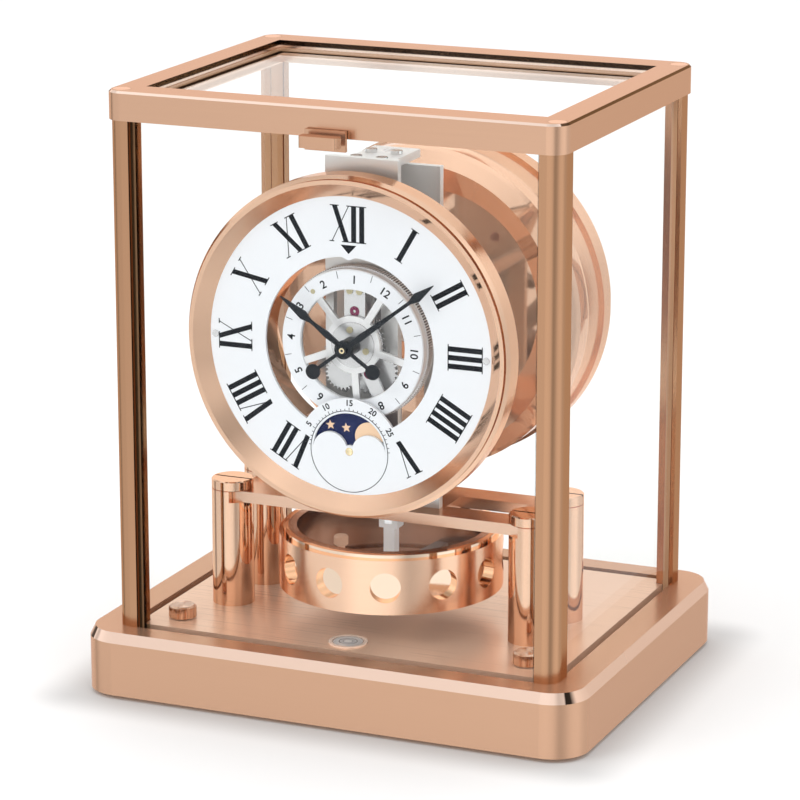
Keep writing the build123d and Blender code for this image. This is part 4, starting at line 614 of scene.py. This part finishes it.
def addRing(bm, inner, outer, height, steps, centre=(0.0, 0.0)):
    before = set(bm.verts)
    corners = ((inner, 0.0), (inner, height), (outer, height), (outer, 0.0))
    loop = [bm.verts.new((radius, 0.0, z)) for radius, z in corners]
    profile = [bm.edges.new((loop[k], loop[(k + 1) % 4])) for k in range(4)]
    bmesh.ops.spin(bm, geom=loop + profile, cent=(0, 0, 0), axis=(0, 0, 1), angle=math.tau, steps=steps,
                   use_merge=True)
    made = [vert for vert in bm.verts if vert not in before]
    bmesh.ops.translate(bm, verts=made, vec=(centre[0], centre[1], 0.0))


def finishPiece(name, bm, matrix, mat, body):
    bmesh.ops.recalc_face_normals(bm, faces=bm.faces)
    bm.transform(matrix)
    mesh = bpy.data.meshes.new(name)
    bm.to_mesh(mesh)
    bm.free()
    mesh.materials.append(mat)
    obj = bpy.data.objects.new(name, mesh)
    bpy.context.scene.collection.objects.link(obj)
    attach(obj, body)
    return obj


# Roman hour numerals, drawn stroke by stroke with their tops outward, and a pointer to the month
# lift raises each stroke a little over the one before it, so that crossing strokes don't share a face
numerals = {"low": 38.3, "high": 51.7, "thick": 1.9, "thin": 0.32, "pitch": 3.15, "vWidth": 5.4,
            "xWidth": 6.6, "vSpace": 1.4, "xSpace": 0.6, "serif": 0.75, "serifHeight": 0.35, "print": 0.06,
            "lift": 0.002, "hourAngle": 30.0, "pointer": ((-3.05, 37.3), (0.0, 34.1), (3.05, 37.3)),
            "words": {12: "XII", 1: "I", 2: "II", 3: "III", 4: "IIII", 5: "V", 7: "VII", 8: "VIII", 9: "IX",
                      10: "X", 11: "XI"}}


def strokeOutline(lowX, highX, width):
    low, high = numerals["low"], numerals["high"]
    half = width / 2
    return [(lowX - half, low), (lowX + half, low), (highX + half, high), (highX - half, high)]


def serifOutline(middle, width, atTop):
    reach = width / 2 + numerals["serif"]
    edge = numerals["high"] if atTop else numerals["low"]
    inner = edge - numerals["serifHeight"] if atTop else edge + numerals["serifHeight"]
    left, right = middle - reach, middle + reach
    return [(left, inner), (right, inner), (right, edge), (left, edge)]


def numeralOutlines(word):
    widths = {"I": numerals["pitch"], "V": numerals["vWidth"] + numerals["vSpace"],
              "X": numerals["xWidth"] + numerals["xSpace"]}
    left = -sum(widths[letter] for letter in word) / 2
    outlines = []
    thick, thin = numerals["thick"], numerals["thin"]
    for letter in word:
        middle = left + widths[letter] / 2
        if letter == "I":
            outlines.append(strokeOutline(middle, middle, thick))
            outlines += [serifOutline(middle, thick, True), serifOutline(middle, thick, False)]
        if letter == "V":
            half = numerals["vWidth"] / 2
            outlines.append(strokeOutline(middle, middle - half + thick / 2, thick))
            outlines.append(strokeOutline(middle, middle + half, thin))
            outlines.append(serifOutline(middle - half + thick / 2, thick, True))
            outlines.append(serifOutline(middle + half, thin, True))
        if letter == "X":
            half = numerals["xWidth"] / 2
            outlines.append(strokeOutline(middle + half - thick / 2, middle - half + thick / 2, thick))
            outlines.append(strokeOutline(middle - half, middle + half, thin))
            for side, width in ((-half + thick / 2, thick), (half, thin)):
                outlines.append(serifOutline(middle + side, width, True))
            for side, width in ((half - thick / 2, thick), (-half, thin)):
                outlines.append(serifOutline(middle + side, width, False))
        left += widths[letter]
    return outlines


def buildNumerals():
    bm = bmesh.new()
    for hour, word in numerals["words"].items():
        turn = math.radians(-numerals["hourAngle"] * hour)
        lift = 0.0
        for outline in numeralOutlines(word):
            spun = [(x * math.cos(turn) - y * math.sin(turn), x * math.sin(turn) + y * math.cos(turn))
                    for x, y in outline]
            lift += numerals["lift"]
            addOutline(bm, spun, numerals["print"] + lift)
    addOutline(bm, numerals["pointer"], numerals["print"])
    finishPiece("hourNumerals", bm, dialMatrix(clock["dialFront"]), printBlack, "case")


buildNumerals()
print("hour numerals drawn")

# small numbers of the moon scale and the month ring
lettering = {"height": 0.05, "weight": 0.07, "curveSteps": 4, "join": 1e-5}


def textMesh(name, text, size, turn, place):
    height = lettering["height"]
    curve = bpy.data.curves.new(name, "FONT")
    curve.body = text
    curve.size = size
    curve.align_x = "CENTER"
    curve.align_y = "CENTER"
    curve.extrude = height / 2
    curve.offset = lettering["weight"]
    curve.resolution_u = lettering["curveSteps"]
    holder = bpy.data.objects.new(name + "Curve", curve)
    bpy.context.scene.collection.objects.link(holder)
    bpy.context.view_layer.update()
    mesh = bpy.data.meshes.new_from_object(holder.evaluated_get(bpy.context.evaluated_depsgraph_get()))
    bpy.data.objects.remove(holder)
    bpy.data.curves.remove(curve)
    bm = bmesh.new()
    bm.from_mesh(mesh)
    bpy.data.meshes.remove(mesh)
    bmesh.ops.remove_doubles(bm, verts=bm.verts, dist=lettering["join"])
    move = Matrix.Translation((place[0], place[1], height / 2))
    bm.transform(move @ Matrix.Rotation(math.radians(turn), 4, "Z"))
    return bm


def joinInto(bm, other):
    mesh = bpy.data.meshes.new("scratch")
    other.to_mesh(mesh)
    other.free()
    bm.from_mesh(mesh)
    bpy.data.meshes.remove(mesh)


def radialBar(angle, inner, outer, width):
    turn = math.radians(angle)
    along = Vector((math.cos(turn), math.sin(turn)))
    across = Vector((-math.sin(turn), math.cos(turn))) * width / 2
    near, far = along * inner, along * outer
    return [(corner.x, corner.y) for corner in (near - across, far - across, far + across, near + across)]


# moon dial: thin circle, day ticks and day numbers, with the middle day straight up
moonDial = {"circle": 15.3, "line": 0.26, "circleSteps": 120, "tickInner": 15.2, "tickOuter": 15.95,
            "longTick": 16.4, "tickWidth": 0.22, "numberAt": 18.1, "textSize": 3.1, "dayAngle": 6.1,
            "print": 0.05, "lastDay": 29, "middleDay": 15, "numbered": (5, 10, 15, 20, 25)}


def dayDegrees(day):
    return 90.0 - (day - moonDial["middleDay"]) * moonDial["dayAngle"]


def buildMoonDial():
    bm = bmesh.new()
    addRing(bm, moonDial["circle"] - moonDial["line"], moonDial["circle"], moonDial["print"],
            moonDial["circleSteps"])
    for day in range(1, moonDial["lastDay"] + 1):
        outer = moonDial["longTick"] if day in moonDial["numbered"] else moonDial["tickOuter"]
        tick = radialBar(dayDegrees(day), moonDial["tickInner"], outer, moonDial["tickWidth"])
        addOutline(bm, tick, moonDial["print"])
    for day in moonDial["numbered"]:
        place = polar(moonDial["numberAt"], dayDegrees(day))
        joinInto(bm, textMesh("day", str(day), moonDial["textSize"], dayDegrees(day) - 90.0, place))
    finishPiece("moonDayScale", bm, dialMatrix(clock["dialFront"], (0.0, -clock["moonDrop"])), printBlack,
                "case")


buildMoonDial()
print("moon scale drawn")

# month ring: plain numbers, one to twelve, running anticlockwise, with a tick between each pair
monthPrint = {"numberAt": 24.0, "textSize": 4.2, "tickInner": 24.7, "tickOuter": 27.3, "tickWidth": 0.2,
              "print": 0.05, "turn": -2.0, "pitch": 30.0, "pinAt": 24.0, "pinRadius": 0.9,
              "pinAngle": 130.0, "pinStep": 12, "pinHeight": 0.1}


def discOutline(place, radius, stepDegrees):
    offsets = [polar(radius, degrees) for degrees in range(0, 360, stepDegrees)]
    return [(place[0] + x, place[1] + y) for x, y in offsets]


def buildMonthPrint():
    bm = bmesh.new()
    for month in range(12):
        angle = 90.0 + monthPrint["turn"] + month * monthPrint["pitch"]
        place = polar(monthPrint["numberAt"], angle)
        joinInto(bm, textMesh("month", str(month + 1), monthPrint["textSize"], angle - 90.0, place))
        tick = radialBar(angle + monthPrint["pitch"] / 2, monthPrint["tickInner"], monthPrint["tickOuter"],
                         monthPrint["tickWidth"])
        addOutline(bm, tick, monthPrint["print"])
    finishPiece("monthNumbers", bm, dialMatrix(clock["monthFront"]), printBlack, "month")
    bm = bmesh.new()
    place = polar(monthPrint["pinAt"], monthPrint["pinAngle"])
    disc = discOutline(place, monthPrint["pinRadius"], monthPrint["pinStep"])
    addOutline(bm, disc, monthPrint["pinHeight"])
    finishPiece("monthRingPin", bm, dialMatrix(clock["monthFront"]), brass, "month")


buildMonthPrint()
print("month numbers drawn")

# moon disc: two moons opposite each other, with stars between them, each an angle and a reach
moonArt = {"moonAt": 9.2, "moonRadius": 5.5, "moonAngle": 39.0, "moonSteps": 64, "starRadius": 1.9,
           "starWaist": 0.45, "starTurn": 97.0, "starPoints": 5, "print": 0.05,
           "stars": ((132.0, 12.0), (102.0, 8.6))}


def starOutline(place, turn):
    points = []
    corners = 2 * moonArt["starPoints"]
    for k in range(corners):
        share = 1.0 if k % 2 == 0 else moonArt["starWaist"]
        x, y = polar(moonArt["starRadius"] * share, turn + 360.0 / corners * k)
        points.append((place[0] + x, place[1] + y))
    return points


def buildMoonArt():
    bm = bmesh.new()
    for half in (0.0, 180.0):
        place = polar(moonArt["moonAt"], moonArt["moonAngle"] + half)
        made = bmesh.ops.create_circle(bm, cap_ends=True, segments=moonArt["moonSteps"],
                                       radius=moonArt["moonRadius"])
        bmesh.ops.translate(bm, verts=made["verts"], vec=(place[0], place[1], 0.0))
        raiseFace(bm, made["verts"][0].link_faces[0], moonArt["print"])
        for angle, reach in moonArt["stars"]:
            star = starOutline(polar(reach, angle + half), moonArt["starTurn"] + half)
            addOutline(bm, star, moonArt["print"])
    finishPiece("moonAndStars", bm, dialMatrix(clock["moonFront"], (0.0, -clock["moonDrop"])), moonPeach,
                "moon")


buildMoonArt()
print("moon and stars drawn")

# gilt ring at the hands' centre, gilt cap on the moon's pin, and ruby end stones over the pivots
# that reach the bridge's face
centrePins = {"handRing": (0.5, 1.05), "handFront": -57.7, "height": 0.12, "steps": 48, "moonCap": 1.5,
              "capRound": 32, "capUp": 16, "capFlat": 0.3, "bridgeFront": -46.2, "endStone": (0.5, 1.45),
              "endStones": ((0.0, 12.0), (5.448, -10.692))}


def buildPins():
    bm = bmesh.new()
    addRing(bm, *centrePins["handRing"], centrePins["height"], centrePins["steps"])
    finishPiece("handCentreRing", bm, dialMatrix(centrePins["handFront"]), gilt, "minute")
    bm = bmesh.new()
    bmesh.ops.create_uvsphere(bm, u_segments=centrePins["capRound"], v_segments=centrePins["capUp"],
                              radius=centrePins["moonCap"])
    bmesh.ops.bisect_plane(bm, geom=bm.verts[:] + bm.edges[:] + bm.faces[:], plane_co=(0, 0, 0),
                           plane_no=(0, 0, 1), clear_inner=True)
    bmesh.ops.holes_fill(bm, edges=bm.edges)
    bmesh.ops.scale(bm, verts=bm.verts, vec=(1.0, 1.0, centrePins["capFlat"]))
    finishPiece("moonPinCap", bm, dialMatrix(clock["dialFront"], (0.0, -clock["moonDrop"])), gilt, "moon")


def buildEndStones():
    bm = bmesh.new()
    for place in centrePins["endStones"]:
        addRing(bm, *centrePins["endStone"], centrePins["height"], centrePins["steps"], place)
    finishPiece("endStones", bm, dialMatrix(centrePins["bridgeFront"]), ruby, "case")


buildPins()
buildEndStones()
print("centre pins made")

# trim weights: a round nut run up a thin stud, on two opposite spokes of the pendulum
trimWeight = {"reach": 22.2, "turn": -8.0, "pivotY": -13.0, "stud": 1.5, "nut": 2.8, "nutBase": 5.4,
              "height": 9.2, "edge": 0.5, "steps": 40, "join": 1e-4}


def addTurned(bm, profile, place):
    # a turned piece: the profile's radii and heights spun round an upright line
    before = set(bm.verts)
    verts = [bm.verts.new((radius, 0.0, height)) for radius, height in profile]
    edges = [bm.edges.new(pair) for pair in zip(verts, verts[1:])]
    bmesh.ops.spin(bm, geom=verts + edges, cent=(0, 0, 0), axis=(0, 0, 1), angle=math.tau,
                   steps=trimWeight["steps"], use_merge=True)
    made = [vert for vert in bm.verts if vert not in before]
    bmesh.ops.translate(bm, verts=made, vec=place)
    bmesh.ops.remove_doubles(bm, verts=made, dist=trimWeight["join"])


def buildTrimWeights():
    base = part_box("trim_weights")[0][2] / mm
    stud, nut, edge = trimWeight["stud"], trimWeight["nut"], trimWeight["edge"]
    low, high = trimWeight["nutBase"], trimWeight["height"]
    profile = [(0.0, 0.0), (stud, 0.0), (stud, low), (nut - edge, low), (nut, low + edge),
               (nut, high - edge), (nut - edge, high), (0.0, high)]
    bm = bmesh.new()
    for half in (0.0, 180.0):
        x, y = polar(trimWeight["reach"], trimWeight["turn"] + half)
        addTurned(bm, profile, (x, trimWeight["pivotY"] + y, base))
    piece = finishPiece("trimNuts", bm, Matrix.Scale(mm, 4), roseNutPaintedLight, "pendulum")
    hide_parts("trim_weights")


buildTrimWeights()
print("trim weights turned")

# studio: pale floor with a painted shadow round the plinth, soft lights, camera at the photograph's angle
studio = {"floorShadowNear": 0.58, "floorFar": 0.83, "floorShadowReach": 0.022, "floorSize": 14.0, "floorCells": 2,
          "floorZ": -0.00005, "floorRough": 0.9, "floorShine": 0.1}
softboxes = {
    "keySoftbox": {"place": (-0.9, -1.1, 1.2), "target": (0, 0, 0.1), "size": (0.8, 0.8), "power": 6.6},
    "topSoftbox": {"place": (0.1, 0.2, 1.6), "target": (0, 0, 0), "size": (1.2, 1.0), "power": 5.0},
}
photoCamera = {"place": (509.02, -1196.90, 450.19), "yaw": 23.1287, "pitch": 14.8988, "lens": 162.084,
               "sensor": 36.0, "clip": 100.0}
# brightness of the studio's walls as the metal mirrors them: degrees round from the front, then by height
walls = {
    "round": ((-180, 1.15), (-150, 1.08), (-120, 1.1), (-98, 0.95), (-91, 0.35), (-84, 0.35), (-77, 0.9),
              (-52, 0.9), (-31, 0.9), (-24, 1.0), (-18, 1.1), (-12, 1.2), (4, 1.2), (24, 1.08), (40, 0.5),
              (56, 0.7), (75, 1.1), (100, 1.2), (125, 0.85), (148, 0.9), (166, 0.96), (180, 1.15)),
    "up": ((-1.0, 1.0), (-0.6, 1.15), (-0.35, 1.06), (-0.25, 1.0), (0.0, 1.02), (0.15, 1.22), (0.28, 1.28),
           (0.42, 1.0), (0.55, 0.88), (0.72, 1.15), (0.84, 1.28), (0.92, 1.02), (1.0, 0.75)),
    "ceiling": (0.55, 0.85), "white": (1.0, 1.0, 1.0), "room": 1.15,
}


def makeFloorFinish():
    mat, bsdf = newMaterial("studioFloor")
    tree = mat.node_tree
    # painted shadow: close to the plinth the floor's colour is darker
    mirrored = vectorCalc(tree, "ABSOLUTE", coordinate(tree, "Object"))
    past = vectorCalc(tree, "SUBTRACT", mirrored, (cadBox[1][0], cadBox[1][1], 0.0))
    reach = vectorCalc(tree, "LENGTH", vectorCalc(tree, "MAXIMUM", past, (0.0, 0.0, 0.0)))
    shade = mapped(tree, reach, 0.0, studio["floorShadowReach"], studio["floorShadowNear"], studio["floorFar"],
                   "SMOOTHSTEP")
    tree.links.new(shade, bsdf.inputs["Base Color"])
    bsdf.inputs["Roughness"].default_value = studio["floorRough"]
    bsdf.inputs["Specular IOR Level"].default_value = studio["floorShine"]
    # polished metal mirrors the studio's walls in place of the floor
    clear = tree.nodes.new("ShaderNodeBsdfTransparent")
    splitSurface(tree, nodeOfType(tree, "OUTPUT_MATERIAL"), seenInMetal(tree), bsdf, clear)
    return mat


def buildFloor():
    bm = bmesh.new()
    bmesh.ops.create_grid(bm, x_segments=studio["floorCells"], y_segments=studio["floorCells"],
                          size=studio["floorSize"])
    mesh = bpy.data.meshes.new("studioFloor")
    bm.to_mesh(mesh)
    bm.free()
    mesh.materials.append(makeFloorFinish())
    floor = bpy.data.objects.new("studioFloor", mesh)
    floor.location.z = studio["floorZ"]
    bpy.context.scene.collection.objects.link(floor)


def addSoftbox(name, box):
    data = bpy.data.lights.new(name, "AREA")
    data.shape = "RECTANGLE"
    data.size, data.size_y = box["size"]
    data.energy = box["power"]
    lamp = bpy.data.objects.new(name, data)
    lamp.location = box["place"]
    lamp.rotation_mode = "QUATERNION"
    lamp.rotation_quaternion = (Vector(box["target"]) - Vector(box["place"])).to_track_quat("-Z", "Y")
    lamp.visible_glossy = False
    lamp.visible_transmission = False
    bpy.context.scene.collection.objects.link(lamp)


def buildWorld():
    world = bpy.data.worlds.new("studioWorld")
    world.use_nodes = True
    tree = world.node_tree
    tree.nodes.clear()
    out = tree.nodes.new("ShaderNodeOutputWorld")
    room = tree.nodes.new("ShaderNodeBackground")
    room.inputs["Color"].default_value = opaque(walls["white"])
    room.inputs["Strength"].default_value = walls["room"]
    ray = coordinate(tree, "Generated")
    front = calc(tree, "MULTIPLY", part(tree, ray, "Y"), -1.0)
    angle = calc(tree, "ARCTAN2", part(tree, ray, "X"), front)
    turn = calc(tree, "MULTIPLY_ADD", angle, 0.5 / math.pi, 0.5)
    roundShade = ramp(tree, turn, [(degrees / 360.0 + 0.5, value) for degrees, value in walls["round"]])
    # towards the ceiling the walls run together
    fade = mapped(tree, part(tree, ray, "Z"), *walls["ceiling"])
    around = blend(tree, "RGBA", fade, roundShade, opaque(walls["white"]))
    height = calc(tree, "MULTIPLY_ADD", part(tree, ray, "Z"), 0.5, 0.5)
    upShade = ramp(tree, height, [(rise / 2 + 0.5, value) for rise, value in walls["up"]])
    mirror = tree.nodes.new("ShaderNodeBackground")
    tree.links.new(blend(tree, "RGBA", 1.0, around, upShade, "MULTIPLY"), mirror.inputs["Color"])
    splitSurface(tree, out, seenInMetal(tree), room, mirror)
    bpy.context.scene.world = world


def buildCamera():
    data = bpy.data.cameras.new("photoCamera")
    data.sensor_width = photoCamera["sensor"]
    data.lens = photoCamera["lens"]
    data.clip_end = photoCamera["clip"]
    camera = bpy.data.objects.new("photoCamera", data)
    camera.location = Vector(photoCamera["place"]) * mm
    tilt = math.radians(90.0 - photoCamera["pitch"])
    camera.rotation_euler = (tilt, 0.0, math.radians(photoCamera["yaw"]))
    bpy.context.scene.collection.objects.link(camera)
    bpy.context.scene.camera = camera


buildFloor()
buildWorld()
for name, box in softboxes.items():
    addSoftbox(name, box)
buildCamera()
bpy.context.scene.view_settings.view_transform = "Standard"
print("studio ready")
